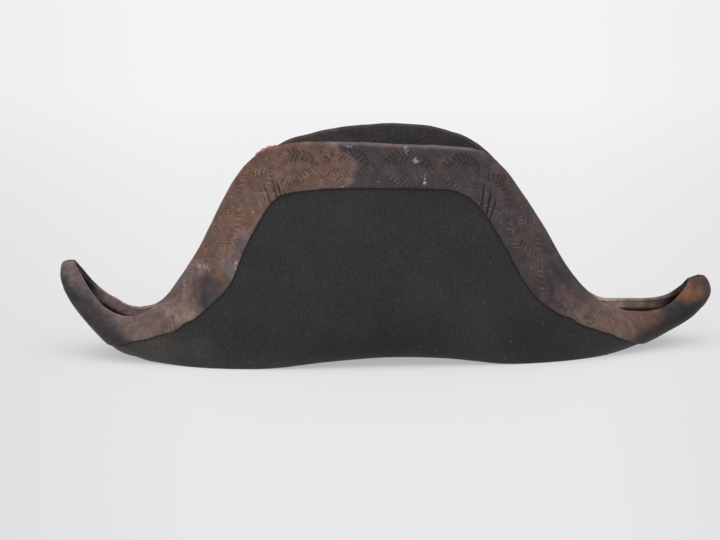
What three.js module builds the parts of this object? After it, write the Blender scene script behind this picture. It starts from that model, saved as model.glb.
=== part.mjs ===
// A felt bicorne: one hollow felt body whose wide brim is turned up into two tall flaps that meet in two
// points, a woven ribbon folded over the whole edge of the brim, and a pleated cockade on the far flap.
// Millimetres, +Z up. X runs from point to point, the near flap is at -Y, and the hat stands on Z = 0. All sizes
// along X are from the middle of the head opening.
import * as THREE from "three";

// Head opening and crown
const HEAD_LENGTH = 228; // inside the crown, along X: the soft crown is pressed long and narrow
const HEAD_WIDTH = 102; // inside the crown, along Y
const CROWN_TOP = 112; // height of the crown's middle line above the table
const CROWN_POWER = 2.6; // roundness of the crown's profile: 2 is a half ellipse, more is flatter on top
const RIM_FLARE = 2; // how far the wall of the crown opens out where it turns into the brim
const RIM_FLARE_HEIGHT = 10;
const LENGTH_MIDDLE = 3; // where the middle of the hat's whole length is, along X

// Felt and ribbon
const FELT = 2; // wall of the felt
const RIBBON = 1; // wall of the ribbon
const CLEARANCE = 0.35; // between pieces that lie on each other

// How far the ribbon reaches from the brim's edge on each face, by X on the edge
const WIDTH_COLUMNS = ["x", "width"];
const RIBBON_WIDTHS = [
  [-200, 18.5], [-180, 17.5], [-164, 21], [-146, 31.5], [-132, 37.5], [-122, 33],
  [-100, 30.5], [-82, 32.5], [-60, 31.5], [-39, 30.5], [29, 28], [45, 28], [58, 28.5],
  [78, 31], [88, 29.5], [109, 32], [119, 33], [128, 28.5], [147, 21.5], [173, 19.5], [200, 19],
];

// Plan of the brim: half its width at the flaps' edges, at their bellies and on the flat underside, how far
// from the middle each would fall to nothing, and how long it stays wide
const EDGE_PLAN = { half: 45, reach: 228, power: 2.2 };
const BELLY_PLAN = { half: 66, reach: 228, power: 2.5 };
const FLAT_PLAN = { half: 56, reach: 178, power: 5.4 };
const FLAT_SHARE = 0.15; // the flat underside at the points, as a share of the belly
const SWAY = 0.09; // how far the underside and the points stand aslant: the left one near, the right one far
const SWAY_STARTS = [110, 180]; // where along the hat the flaps' edges begin to follow
const LEAN_POWER = 1.3; // how much of a flap's lean is near its edge: 1 is a straight flap
const FAR_UPRIGHT = 0.95; // how much of its lean the far flap loses at the points
const UPRIGHT_STARTS = [105, 170]; // where along the hat that comes in
const UPRIGHT_ENDS = [190, 212]; // and where it goes out again
const BELLY_RISE = 30; // height of a flap's widest place above the fold at the middle
const POINT_BELLY = 0.5; // the same at the points, as a share of the depth there

// Sections across the brim from the left point to the right one. The edge of each flap and the fold under
// the hat are where the columns say: X along the hat and Z above the table, on the felt's middle line.
const SECTION_COLUMNS = ["edgeX", "nearZ", "farZ", "keelX", "keelZ"];
const SECTIONS = [
  [-219.5, 65, 65, -225, 65.5],
  [-216, 60, 61.5, -224.5, 54.5],
  [-208.5, 47.5, 51, -217.5, 39.5],
  [-196, 34.5, 37.5, -201.5, 20],
  [-182, 29, 27.7, -185.5, 5],
  [-167, 32, 27, -168, 1],
  [-151.5, 44.5, 37.3, -151.5, 1],
  [-137.5, 63.5, 55.1, -137.5, 1],
  [-124.5, 85, 78.3, -124.5, 1],
  [-111.5, 111, 101, -111.5, 1],
  [-103.5, 125.5, 113.5, -103.5, 1],
  [-94.5, 137, 125.5, -94.5, 1],
  [-84.5, 145, 136, -84.5, 1.2],
  [-71.5, 149, 143.5, -71.5, 2],
  [-46, 151.5, 150.5, -46, 4.8],
  [0, 150.5, 155.5, 0, 7.8],
  [42.5, 148.5, 151, 42.5, 6],
  [62.5, 145.5, 142.5, 62.5, 3.5],
  [76.5, 135.5, 131, 76.5, 1.7],
  [90.5, 117, 112, 90.5, 1],
  [105.5, 93.5, 87.5, 105.5, 1],
  [120.5, 67, 60.8, 120.5, 1],
  [137.5, 46, 40.1, 137.5, 1],
  [157, 32, 27.3, 157, 1],
  [178.5, 26.5, 27.1, 177.5, 3],
  [197.5, 28, 29.6, 198.5, 12],
  [208, 33.5, 35, 219.5, 24],
  [216, 41.5, 41.5, 231, 38.5],
  [219, 45, 45, 228.5, 48],
];
const LAST = SECTIONS.length - 1;
const POINT_SECTIONS = 4; // sections at either end that turn up into a point

// Creases across the points, from a place on the near edge outwards: X and Z of two places on each. Above
// its crease a point leans back by this share of the way.
const CREASE_COLUMNS = ["x", "z", "outX", "outZ", "lean"];
const CREASES = [
  [-203, 39, -223.5, 57, 0.5],
  [202, 31.5, 229, 36.5, 0.5],
];
const CREASE_SOFTNESS = 2;
const LEAN_STARTS = [188, 206]; // where along the hat that lean comes in

// Where one half of a section changes from flat bottom to fold, and from fold to flap, as shares of the half
const FOLD_STARTS = 0.25;
const FLAP_STARTS = 0.5;

// How finely the walls are divided
const CROWN_ROWS = [0.98, 0.87, 0.65, 0.35, 0.09, 0.03]; // heights on the crown, as shares of it
const BRIM_ROWS = 6; // from the head opening to the ribbon, half of them up to the flap's widest place
const RIBBON_ROWS = 4; // from the ribbon's inner edge to the brim's edge
const SIDE_LINES = 29; // lines up each flap
const SAMPLES_PER_SECTION = 12; // places on the brim's edge that the ribbon's reach is measured from
const POINT_LINES = 3; // lines running out to each point along either flap
const TURN_LINES = [1, 0.6, 0.36, 0, -0.36, -0.6, -1]; // lines round a point's end, across it
const POINT_ANGLE = THREE.MathUtils.degToRad(15); // share of the head opening that those lines start from
const POINT_SEAM = 0.3; // half width of the ribbon's inner end under a point, as a share of the section
const SEAM_BULGE = 0.1; // how far that end curves out towards the point, as a share of the way
const EDGE_ROUNDING = 0.55; // part of the folded ribbon's thickness that is flat along the edge

// Tucks that take up the ribbon's fullness at the shoulders of each flap
const TUCK_COLUMNS = ["x", "count", "pitch", "height", "length"];
const TUCKS = [
  [-78, 3, 3.6, 0.9, 16],
  [69, 3, 3.6, 0.8, 19],
];
const LINES_PER_TUCK = 2;

// Cockade
const COCKADE_RADIUS = 18;
const COCKADE_X = -80;
const COCKADE_Z = 122;
const COCKADE_THICKNESS = 2.4;
const COCKADE_DOME = 2.2; // extra thickness towards its middle
const COCKADE_PLEATS = 20;
const PLEAT_HEIGHT = 1.1;
const LINES_PER_PLEAT = 3;
const COCKADE_RINGS = [0.16, 0.3, 0.65, 1]; // radii of its rings, as shares of the whole
const COCKADE_DIMPLE = 1.2; // depth of the gathered middle

const FELT_COLOUR = 0x323031;
const RIBBON_COLOUR = 0x6b5248;
const COCKADE_COLOUR = 0xa8322e;

const HEAD_AXES = new THREE.Vector2((HEAD_LENGTH + FELT) / 2, (HEAD_WIDTH + FELT) / 2);

const table = (columns, rows) =>
  rows.map((row) => Object.fromEntries(columns.map((column, i) => [column, row[i]])));
const sections = table(SECTION_COLUMNS, SECTIONS);
const creases = table(CREASE_COLUMNS, CREASES);
const tucks = table(TUCK_COLUMNS, TUCKS);
const ribbonWidths = table(WIDTH_COLUMNS, RIBBON_WIDTHS);
const { clamp, lerp, smoothstep } = THREE.MathUtils;

// Half a width of the plan at a place along the hat
const planHalf = (plan, x) => plan.half * (1 - (Math.abs(x) / plan.reach) ** plan.power);

// How far a place stands aslant; the share goes from 0 on the underside to 1 at a flap's edge
const sway = (x, share) => SWAY * x * (1 - share * (1 - smoothstep(Math.abs(x), ...SWAY_STARTS)));

// How far the ends of the points lean back, above their creases
function leanBack(x, z) {
  return creases.reduce((shift, crease) => {
    const run = crease.outX - crease.x;
    const climb = crease.outZ - crease.z;
    const side = Math.sign(run);
    const above = (side * ((z - crease.z) * run - (x - crease.x) * climb)) / Math.hypot(run, climb);
    const bent = (above + Math.hypot(above, CREASE_SOFTNESS)) / 2;
    return shift + crease.lean * bent * smoothstep(side * x, ...LEAN_STARTS);
  }, 0);
}

// The ribbon's reach at a place along the hat
function ribbonWidth(x) {
  const after = ribbonWidths.findIndex((row) => row.x > x);
  if (after < 1) return ribbonWidths.at(after).width;
  const low = ribbonWidths[after - 1];
  const high = ribbonWidths[after];
  return lerp(low.width, high.width, (x - low.x) / (high.x - low.x));
}

const curve = (points) => new THREE.CatmullRomCurve3(points, false, "centripetal");
const nearHalf = (x) => planHalf(EDGE_PLAN, x);
function farHalf(x) {
  const away = Math.abs(x);
  const upright = smoothstep(away, ...UPRIGHT_STARTS) * (1 - smoothstep(away, ...UPRIGHT_ENDS));
  return lerp(nearHalf(x), planHalf(BELLY_PLAN, x), FAR_UPRIGHT * upright);
}
const nearEdge = curve(sections.map((s) => new THREE.Vector3(s.edgeX, -nearHalf(s.edgeX), s.nearZ)));
const farEdge = curve(sections.map((s) => new THREE.Vector3(s.edgeX, farHalf(s.edgeX), s.farZ)));
const keel = curve(sections.map((s) => new THREE.Vector3(s.keelX, 0, s.keelZ)));

// A point of the felt's middle surface. The station runs along the sections, and across is -1 at the
// near edge, 0 under the middle and 1 at the far edge.
function brimPoint(station, across) {
  const edge = (across < 0 ? nearEdge : farEdge).getPoint(station / LAST);
  const fold = keel.getPoint(station / LAST);
  const depth = Math.hypot(edge.x - fold.x, edge.z - fold.z);
  const belly = planHalf(BELLY_PLAN, edge.x);
  const flat = Math.max(planHalf(FLAT_PLAN, fold.x), FLAT_SHARE * belly);
  const bellyShare = Math.min(POINT_BELLY, BELLY_RISE / depth);
  const a = Math.abs(across);
  const turn = (clamp((a - FOLD_STARTS) / (FLAP_STARTS - FOLD_STARTS), 0, 1) * Math.PI) / 2;
  const rise = clamp((a - FLAP_STARTS) / (1 - FLAP_STARTS), 0, 1);
  const lean = (belly - Math.abs(edge.y)) * rise ** LEAN_POWER;
  const half = flat * Math.min(a / FOLD_STARTS, 1) + (belly - flat) * Math.sin(turn) - lean;
  const share = bellyShare * (1 - Math.cos(turn)) + (1 - bellyShare) * rise;
  const x = lerp(fold.x, edge.x, share);
  const z = Math.max(lerp(fold.z, edge.z, share), FELT / 2);
  return new THREE.Vector3(x, Math.sign(across) * half + sway(x, share) + leanBack(x, z), z);
}

// The value between low and high where a rising test turns from false to true
function bisect(low, high, test) {
  for (let i = 0; i < 30; i++) {
    const middle = (low + high) / 2;
    if (test(middle)) high = middle;
    else low = middle;
  }
  return (low + high) / 2;
}

// The station of a place along the hat, between the points
const stationOfX = (x) =>
  bisect(POINT_SECTIONS, LAST - POINT_SECTIONS, (station) => keel.getPoint(station / LAST).x > x);

// How far across a section the ribbon's inner edge lies: the place at the ribbon's width from the brim's edge
const edgeSamples = (side) =>
  Array.from({ length: SAMPLES_PER_SECTION * LAST + 1 }, (_, i) => {
    const place = brimPoint(i / SAMPLES_PER_SECTION, side);
    return { place, width: ribbonWidth(place.x) };
  });
const samplesOf = { near: edgeSamples(-1), far: edgeSamples(1) };
function ribbonAcross(station, side) {
  const samples = side < 0 ? samplesOf.near : samplesOf.far;
  return bisect(0, 1, (a) => {
    const point = brimPoint(station, side * a);
    return samples.some((sample) => point.distanceTo(sample.place) < sample.width);
  });
}

// Stations where the ribbon's inner edge comes close to the middle of the underside
const pointStation = (inner, outer) => {
  const covered = (share) => ribbonAcross(inner + (outer - inner) * share, -1) < POINT_SEAM;
  return inner + (outer - inner) * bisect(0, 1, covered);
};
const SIDE_FIRST = pointStation(POINT_SECTIONS + 2, 1);
const SIDE_LAST = pointStation(LAST - POINT_SECTIONS - 2, LAST - 1);

// Where the wall of the crown meets the brim, at an angle round the head opening
function rimAt(angle) {
  const x = (HEAD_AXES.x + RIM_FLARE) * Math.cos(angle);
  const y = (HEAD_AXES.y + RIM_FLARE) * Math.sin(angle);
  const station = stationOfX(x);
  const across = bisect(0, FLAP_STARTS, (a) => brimPoint(station, a).y - sway(x, 0) > Math.abs(y));
  return new THREE.Vector2(station, Math.sign(y) * across);
}

// A line over the brim: where it leaves the head opening, meets the ribbon and ends at the edge
function sideLine(station, side) {
  const share = (station - SIDE_FIRST) / (SIDE_LAST - SIDE_FIRST);
  const angle = side * (Math.PI - POINT_ANGLE - (Math.PI - 2 * POINT_ANGLE) * share);
  return {
    angle,
    rim: rimAt(angle),
    ribbon: new THREE.Vector2(station, side * ribbonAcross(station, side)),
    edge: new THREE.Vector2(station, side),
  };
}

// Lines that run out to a point: its edge is followed along one flap, round the end and back along the other
function pointLines(start, end, sideFrom) {
  const step = (end - start) / (POINT_LINES + 1);
  const out = Array.from({ length: POINT_LINES }, (_, i) => start + step * (i + 1));
  const edges = [
    ...out.map((station) => new THREE.Vector2(station, sideFrom)),
    ...TURN_LINES.map((share) => new THREE.Vector2(end, sideFrom * share)),
    ...out.reverse().map((station) => new THREE.Vector2(station, -sideFrom)),
  ];
  const middleAngle = end > start ? 0 : Math.PI;
  return edges.map((edge, i) => {
    const swing = (2 * (i + 1)) / (edges.length + 1) - 1;
    const angle = middleAngle + POINT_ANGLE * swing;
    const bulge = SEAM_BULGE * (end - start) * (1 - swing ** 2);
    const ribbon = new THREE.Vector2(start + bulge, -sideFrom * POINT_SEAM * swing);
    return { angle, rim: rimAt(angle), ribbon, edge };
  });
}

// All lines in order round the hat: near flap, right point, far flap, left point
const sideStations = Array.from(
  { length: SIDE_LINES },
  (_, i) => SIDE_FIRST + ((SIDE_LAST - SIDE_FIRST) * i) / (SIDE_LINES - 1),
);
const tuckStations = tucks.flatMap((tuck) =>
  Array.from({ length: tuck.count * LINES_PER_TUCK + 1 }, (_, j) =>
    stationOfX(tuck.x + tuck.pitch * (j / LINES_PER_TUCK - tuck.count / 2)),
  ),
);
const linesRound = (stations) => [
  ...stations.map((station) => sideLine(station, -1)),
  ...pointLines(SIDE_LAST, LAST, -1),
  ...stations.map((station) => sideLine(station, 1)).reverse(),
  ...pointLines(SIDE_FIRST, 0, 1),
];

// The middle surface along a line, from the ribbon's inner edge to the brim's edge
function ribbonRows(line) {
  return Array.from({ length: RIBBON_ROWS + 1 }, (_, k) => {
    const at = line.ribbon.clone().lerp(line.edge, k / RIBBON_ROWS);
    return brimPoint(at.x, at.y);
  });
}

// The middle surface along a line from the crown to the head opening and over the brim to its edge
function feltRows(line) {
  const rim = brimPoint(line.rim.x, line.rim.y);
  const crown = CROWN_ROWS.map((share) => {
    const rise = share * (CROWN_TOP - rim.z);
    const flare = RIM_FLARE * Math.max(0, 1 - rise / RIM_FLARE_HEIGHT) ** 2;
    const narrowing = (1 - share ** CROWN_POWER) ** (1 / CROWN_POWER);
    const x = (HEAD_AXES.x * narrowing + flare) * Math.cos(line.angle);
    const y = (HEAD_AXES.y * narrowing + flare) * Math.sin(line.angle);
    return new THREE.Vector3(x, y + sway(x, 0), rim.z + rise);
  });
  const belly = line.rim.clone().lerp(line.ribbon, 0.5);
  belly.y = clamp(belly.y, -FLAP_STARTS, FLAP_STARTS);
  const brim = Array.from({ length: BRIM_ROWS }, (_, k) => {
    const share = (2 * k) / BRIM_ROWS;
    const at = share < 1 ? line.rim.clone().lerp(belly, share) : belly.clone().lerp(line.ribbon, share - 1);
    return brimPoint(at.x, at.y);
  });
  return [...crown, ...brim, ...ribbonRows(line)];
}

// Unit normals of a ring of lines, on the side that is outside the flaps and under the brim
function normalsOf(lines) {
  return lines.map((line, i) => {
    const before = lines.at(i - 1);
    const after = lines[(i + 1) % lines.length];
    return line.map((point, k) => {
      const along = new THREE.Vector3().subVectors(after[k], before[k]);
      const up = new THREE.Vector3().subVectors(line[k + 1] ?? point, line[k - 1] ?? point);
      return along.cross(up).normalize();
    });
  });
}

const offset = (point, direction, distance) => point.clone().addScaledVector(direction, distance);

// A closed mesh from a list of points and of faces with three or four corners
function meshOf(name, points, faces, colour, roughness) {
  const triangles = faces.flatMap(([a, b, c, d]) => {
    if (d === undefined) return [a, b, c];
    const short = points[a].distanceTo(points[c]) <= points[b].distanceTo(points[d]);
    return short ? [a, b, c, a, c, d] : [a, b, d, b, c, d];
  });
  const geometry = new THREE.BufferGeometry().setFromPoints(points);
  geometry.setIndex(triangles);
  geometry.computeVertexNormals();
  const material = new THREE.MeshStandardMaterial({ color: colour, roughness, metalness: 0 });
  const mesh = new THREE.Mesh(geometry, material);
  mesh.name = name;
  return mesh;
}

// The felt: crown and brim in one wall
function feltBody() {
  const lines = linesRound(sideStations).map(feltRows);
  const normals = normalsOf(lines);
  const rows = lines[0].length;
  const points = [];
  for (const side of [1, -1]) {
    const wall = lines.map((line, i) => line.map((p, k) => offset(p, normals[i][k], (side * FELT) / 2)));
    points.push(...wall.flat());
  }
  for (const p of points) p.z = Math.max(p.z, 0);
  const apexUnder = points.push(new THREE.Vector3(0, 0, CROWN_TOP - FELT / 2)) - 1;
  const apexOver = points.push(new THREE.Vector3(0, 0, CROWN_TOP + FELT / 2)) - 1;
  const faces = [];
  lines.forEach((_, i) => {
    const next = (i + 1) % lines.length;
    const under = (line, k) => line * rows + k;
    const over = (line, k) => (lines.length + line) * rows + k;
    for (let k = 0; k < rows - 1; k++) {
      faces.push([under(i, k), under(next, k), under(next, k + 1), under(i, k + 1)]);
      faces.push([over(i, k), over(i, k + 1), over(next, k + 1), over(next, k)]);
    }
    faces.push([under(i, rows - 1), under(next, rows - 1), over(next, rows - 1), over(i, rows - 1)]);
    faces.push([under(next, 0), under(i, 0), apexUnder]);
    faces.push([over(i, 0), over(next, 0), apexOver]);
  });
  return meshOf("felt_body", points, faces, FELT_COLOUR, 0.95);
}

// Height of the tucks over the ribbon's face, which fades out from its inner edge
function tuckHeight(point, fromInnerEdge) {
  return tucks.reduce((sum, tuck) => {
    const turns = (point.x - tuck.x) / tuck.pitch + tuck.count / 2;
    if (turns < 0 || turns > tuck.count) return sum;
    const fade = Math.max(0, 1 - fromInnerEdge / tuck.length);
    return sum + tuck.height * fade * Math.sin(Math.PI * turns) ** 2;
  }, 0);
}

// The ribbon: folded over the edge all the way round, with its two halves on both faces of the felt
function edgeRibbon() {
  const brimLines = linesRound([...sideStations, ...tuckStations].sort((a, b) => a - b));
  const lines = brimLines.map(ribbonRows);
  const normals = normalsOf(brimLines.map(feltRows)).map((line) => line.slice(-lines[0].length));
  const inner = FELT / 2 + CLEARANCE;
  const outer = inner + RIBBON;
  const rings = lines.map((line, i) => {
    const last = RIBBON_ROWS;
    const out = new THREE.Vector3().subVectors(line[last], line[last - 1]).normalize();
    const beyond = (reach, side) => offset(offset(line[last], out, reach), normals[i][last], side);
    const face = (distance) => line.map((p, k) => offset(p, normals[i][k], distance));
    const tucked = line.map((p, k) => offset(p, normals[i][k], outer + tuckHeight(p, p.distanceTo(line[0]))));
    return [
      ...tucked,
      beyond(CLEARANCE + RIBBON, EDGE_ROUNDING * outer),
      beyond(CLEARANCE + RIBBON, -EDGE_ROUNDING * outer),
      ...face(-outer).reverse(),
      ...face(-inner),
      beyond(CLEARANCE, -inner),
      beyond(CLEARANCE, inner),
      ...face(inner).reverse(),
    ];
  });
  const count = rings[0].length;
  const faces = rings.flatMap((ring, i) =>
    ring.map((_, k) => {
      const next = ((i + 1) % rings.length) * count;
      const after = (k + 1) % count;
      return [i * count + k, next + k, next + after, i * count + after];
    }),
  );
  return meshOf("edge_ribbon", rings.flat(), faces, RIBBON_COLOUR, 0.7);
}

// The cockade: a round rosette of pleated ribbon, sewn flat on the outer face of the far flap
function cockade() {
  const angles = COCKADE_PLEATS * LINES_PER_PLEAT;
  const station = stationOfX(COCKADE_X);
  const across = bisect(FLAP_STARTS, 1, (a) => brimPoint(station, a).z > COCKADE_Z);
  const centre = brimPoint(station, across);
  const step = 0.05;
  const along = brimPoint(station + step, across).sub(brimPoint(station - step, across));
  const up = brimPoint(station, across + step).sub(brimPoint(station, across - step));
  const facing = new THREE.Vector3().crossVectors(up, along).normalize();
  const points = [];
  const ringPoints = (share, height, pleated) => {
    for (let i = 0; i < angles; i++) {
      const angle = (2 * Math.PI * i) / angles;
      const fold = pleated ? (PLEAT_HEIGHT * share * (i % LINES_PER_PLEAT)) / (LINES_PER_PLEAT - 1) : 0;
      const radius = COCKADE_RADIUS * share;
      points.push(new THREE.Vector3(radius * Math.cos(angle), radius * Math.sin(angle), height + fold));
    }
  };
  ringPoints(COCKADE_RINGS[1], 0, false);
  ringPoints(1, 0, false);
  for (const share of [...COCKADE_RINGS].reverse()) {
    const dimple = share === COCKADE_RINGS[0] ? COCKADE_DIMPLE : 0;
    ringPoints(share, COCKADE_THICKNESS + COCKADE_DOME * (1 - share ** 2) - dimple, true);
  }
  const rings = points.length / angles;
  const backMiddle = points.push(new THREE.Vector3(0, 0, 0)) - 1;
  const frontHeight = COCKADE_THICKNESS + COCKADE_DOME - COCKADE_DIMPLE;
  const frontMiddle = points.push(new THREE.Vector3(0, 0, frontHeight)) - 1;
  const faces = [];
  for (let i = 0; i < angles; i++) {
    const next = (i + 1) % angles;
    for (let r = 0; r < rings - 1; r++) {
      const low = r * angles;
      faces.push([low + i, low + next, low + angles + next, low + angles + i]);
    }
    const top = (rings - 1) * angles;
    faces.push([i, backMiddle, next]);
    faces.push([top + i, top + next, frontMiddle]);
  }
  const mesh = meshOf("cockade", points, faces, COCKADE_COLOUR, 0.8);
  mesh.quaternion.setFromUnitVectors(new THREE.Vector3(0, 0, 1), facing);
  const tallestTuck = Math.max(...tucks.map((tuck) => tuck.height));
  mesh.position.copy(offset(centre, facing, FELT / 2 + RIBBON + tallestTuck + 2 * CLEARANCE));
  return mesh;
}

const bicorne = new THREE.Group();
bicorne.add(feltBody(), edgeRibbon(), cockade());
for (const piece of bicorne.children) piece.position.x -= LENGTH_MIDDLE;

export default bicorne;
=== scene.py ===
"""The looks of a felt bicorne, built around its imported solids.

The felt body, the woven ribbon folded over the brim's edge and the pleated cockade are modelled again as
fine meshes on the surface that the solids follow. The ribbon's stitches and the lint on the felt are
pieces of their own, and its woven leaf sprays are in its material. Lengths are in millimetres until a mesh
is made: X from point to point, the near flap at -Y, Z up from the surface the hat stands on.
"""
import itertools
import math

import bpy
import numpy as np
from mathutils.kdtree import KDTree
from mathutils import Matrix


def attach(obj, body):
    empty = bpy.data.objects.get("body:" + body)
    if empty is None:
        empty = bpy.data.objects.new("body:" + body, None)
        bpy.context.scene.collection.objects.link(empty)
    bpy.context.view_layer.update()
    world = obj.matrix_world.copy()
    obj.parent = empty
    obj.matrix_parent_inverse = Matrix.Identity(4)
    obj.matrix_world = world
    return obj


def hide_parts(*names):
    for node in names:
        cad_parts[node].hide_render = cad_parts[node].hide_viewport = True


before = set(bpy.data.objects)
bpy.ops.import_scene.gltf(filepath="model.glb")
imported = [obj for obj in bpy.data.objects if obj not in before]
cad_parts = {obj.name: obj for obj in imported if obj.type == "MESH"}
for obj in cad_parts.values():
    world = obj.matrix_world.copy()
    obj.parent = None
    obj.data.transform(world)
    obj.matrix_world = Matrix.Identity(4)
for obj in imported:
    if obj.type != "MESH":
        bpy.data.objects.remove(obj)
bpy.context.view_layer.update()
MM = 0.001

# Camera: where it looks, and from how far and how high
CAMERA_TARGET = (-19, 0, 57.4)
CAMERA_DISTANCE = 1300
CAMERA_ELEVATION = math.radians(10)
CAMERA_LENS = 91.85
SENSOR_WIDTH = 36
CLIP_END = 100  # in metres

# Light: the way to its middle, its strength, how quickly it fades around there, and the even fill
LIGHT_ELEVATION = math.radians(50)
LIGHT_WAY = (0, -math.cos(LIGHT_ELEVATION), math.sin(LIGHT_ELEVATION))
MAIN_LIGHT = 2.35
LIGHT_POWER = 4
FILL_LIGHT = 0.38

# Head opening and crown
HEAD_LENGTH = 228
HEAD_WIDTH = 102
CROWN_TOP = 112
CROWN_POWER = 2.6
RIM_FLARE = 2
RIM_FLARE_HEIGHT = 10
LENGTH_MIDDLE = 3  # the frame's origin, along X from the middle of the head opening

# Felt and ribbon
FELT = 2
RIBBON = 1
CLEARANCE = 0.35

# How far the ribbon reaches from the brim's edge on each face, by X on the edge
WIDTH_COLUMNS = ("x", "width")
RIBBON_WIDTHS = (
    (-200, 18.5), (-180, 17.5), (-164, 21), (-146, 31.5), (-132, 37.5), (-122, 33),
    (-100, 30.5), (-82, 32.5), (-60, 31.5), (-39, 30.5), (29, 28), (45, 28.3), (58, 26.5),
    (78, 30.8), (88, 29.5), (109, 32), (119, 33), (128, 28.5), (147, 21.5), (173, 19.5), (200, 19),
)

# Plan of the brim: half its width at the flaps' edges, at their bellies and on the flat underside, how far
# from the middle each would fall to nothing, and how long it stays wide
EDGE_PLAN = (45, 228, 2.2)
BELLY_PLAN = (66, 228, 2.5)
FLAT_PLAN = (56, 178, 5.4)
FLAT_SHARE = 0.15  # the flat underside at the points, as a share of the belly
SWAY = 0.09  # how far the hat stands aslant: the left point is nearer, the right one farther
SWAY_STARTS = (110, 180)  # where along the hat the flaps' edges begin to follow
FAR_UPRIGHT = 0.95  # how much of its lean the far flap loses at the points
UPRIGHT_STARTS = (105, 170)  # where along the hat that comes in
UPRIGHT_ENDS = (190, 212)  # and where it goes out again
LEAN_POWER = 1.3
BELLY_RISE = 30
POINT_BELLY = 0.5

# Sections across the brim from the left point to the right one: the flaps' edges and the fold under the hat
SECTION_COLUMNS = ("edge_x", "near_z", "far_z", "keel_x", "keel_z")
SECTIONS = (
    (-219.5, 65, 65, -225, 65.5),
    (-216, 60, 61.5, -224.5, 54.5),
    (-208.5, 47.5, 51, -217.5, 39.5),
    (-196, 34.5, 37.5, -201.5, 20),
    (-182, 29, 27.7, -185.5, 5),
    (-167, 32, 27, -168, 1),
    (-151.5, 44.5, 37.3, -151.5, 1),
    (-137.5, 63.5, 55.1, -137.5, 1),
    (-124.5, 85, 78.3, -124.5, 1),
    (-111.5, 111, 101, -111.5, 1),
    (-103.5, 125.5, 113.5, -103.5, 1),
    (-94.5, 137, 125.5, -94.5, 1),
    (-84.5, 145, 136, -84.5, 1.2),
    (-71.5, 149, 143.5, -71.5, 2),
    (-46, 151.5, 150.5, -46, 4.8),
    (0, 150.5, 155.5, 0, 7.8),
    (42.5, 148.5, 151, 42.5, 6),
    (62.5, 145.5, 142.5, 62.5, 3.5),
    (76.5, 135.5, 131, 76.5, 1.7),
    (90.5, 117, 112, 90.5, 1),
    (105.5, 93.5, 87.5, 105.5, 1),
    (120.5, 67, 60.8, 120.5, 1),
    (137.5, 46, 40.1, 137.5, 1),
    (157, 32, 27.3, 157, 1),
    (178.5, 26.5, 27.1, 177.5, 3),
    (197.5, 28, 29.6, 198.5, 12),
    (208, 33.5, 35, 219.5, 24),
    (216, 41.5, 41.5, 231, 38.5),
    (219, 45, 45, 228.5, 48),
)
LAST = len(SECTIONS) - 1
POINT_SECTIONS = 4
FOLD_STARTS = 0.25
FLAP_STARTS = 0.5
POINT_ANGLE = math.radians(15)
POINT_SEAM = 0.3
SEAM_BULGE = 0.1

# Creases across the points, from a place on the near edge outwards: X and Z of two places on each. Above
# its crease a point leans back by this share of the way.
CREASE_COLUMNS = ("x", "z", "out_x", "out_z", "lean")
CREASES = (
    (-203, 39, -223.5, 57, 0.5),
    (202, 31.5, 229, 36.5, 0.5),
)
CREASE_SOFTNESS = 2
LEAN_STARTS = (188, 206)  # where along the hat that lean comes in

# Rounded ends of the points: X and Z of each end, the way it looks, and the length that is rounded
END_COLUMNS = ("x", "z", "way_x", "way_z", "length")
ENDS = (
    (-222.5, 67.5, -0.15, 0.99, 3.5),
    (223.8, 48.8, -0.2, 0.98, 4),
)
END_ROUNDNESS = 0.75

# How finely the meshes are divided
LINE_STEP = 2.2  # along the brim's edge, between the felt's lines
RIBBON_STEP = 1.15  # the same for the ribbon
TUCK_STEP = 0.4  # the same for the ribbon where it is tucked
FINE_STATIONS = 4000  # places at which the length along the brim's edge is measured
EDGE_FINENESS = 14  # places on the brim's edge in each section, to measure the ribbon's width from
FLAP_TOPS = 90  # height above which an edge is a flap's
TURN_LINES = 14  # lines round the end of a point
CROWN_ROWS = 18
CROWN_MIDDLE = 0.06  # where the first of them is, on the way from the crown's top
BRIM_ROWS = 26
FELT_RIBBON_ROWS = 8  # rows of felt under the ribbon
RIBBON_ROWS = 26
ROLL_ROWS = 9  # rows round the fold at the brim's edge
HIDDEN_ROWS = 4  # rows on the ribbon's hidden face

# Soft unevenness of the felt and the ribbon
SWELL_SIZE, SWELL_HEIGHT = 46, 0.7
SWELL_STARTS = (4, 30)  # heights between which it comes in
DENT_SIZE, DENT_HEIGHT = 15, 0.16
DENT_STARTS = (3, 20)
RIBBON_PUFF = 0.45
PUFF_POWER = 0.8
PUCKER_SIZE, PUCKER_HEIGHT = 7, 0.16
PUCKER_ARC = (0.2, 0.9 * math.pi + 0.2)
LEAST_CLOTH = 0.2  # thickness that a tuck leaves
ROLL_DEPTH = 0.75  # how far the fold stands out from the brim's edge, for its half thickness
EDGE_LUMPS = ((0.55, 15, 14), (0.33, 6, 15))  # unevenness of that fold: strength, size and seed
LUMP_POWER = 10
EDGE_WANDER, WANDER_SIZE = 0.5, 9  # how far the ribbon's inner edge strays, and over what length
EDGE_SMOOTHING = (-0.4, -0.2, 0, 0.2, 0.4)  # steps along the sections that even that edge out

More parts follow.
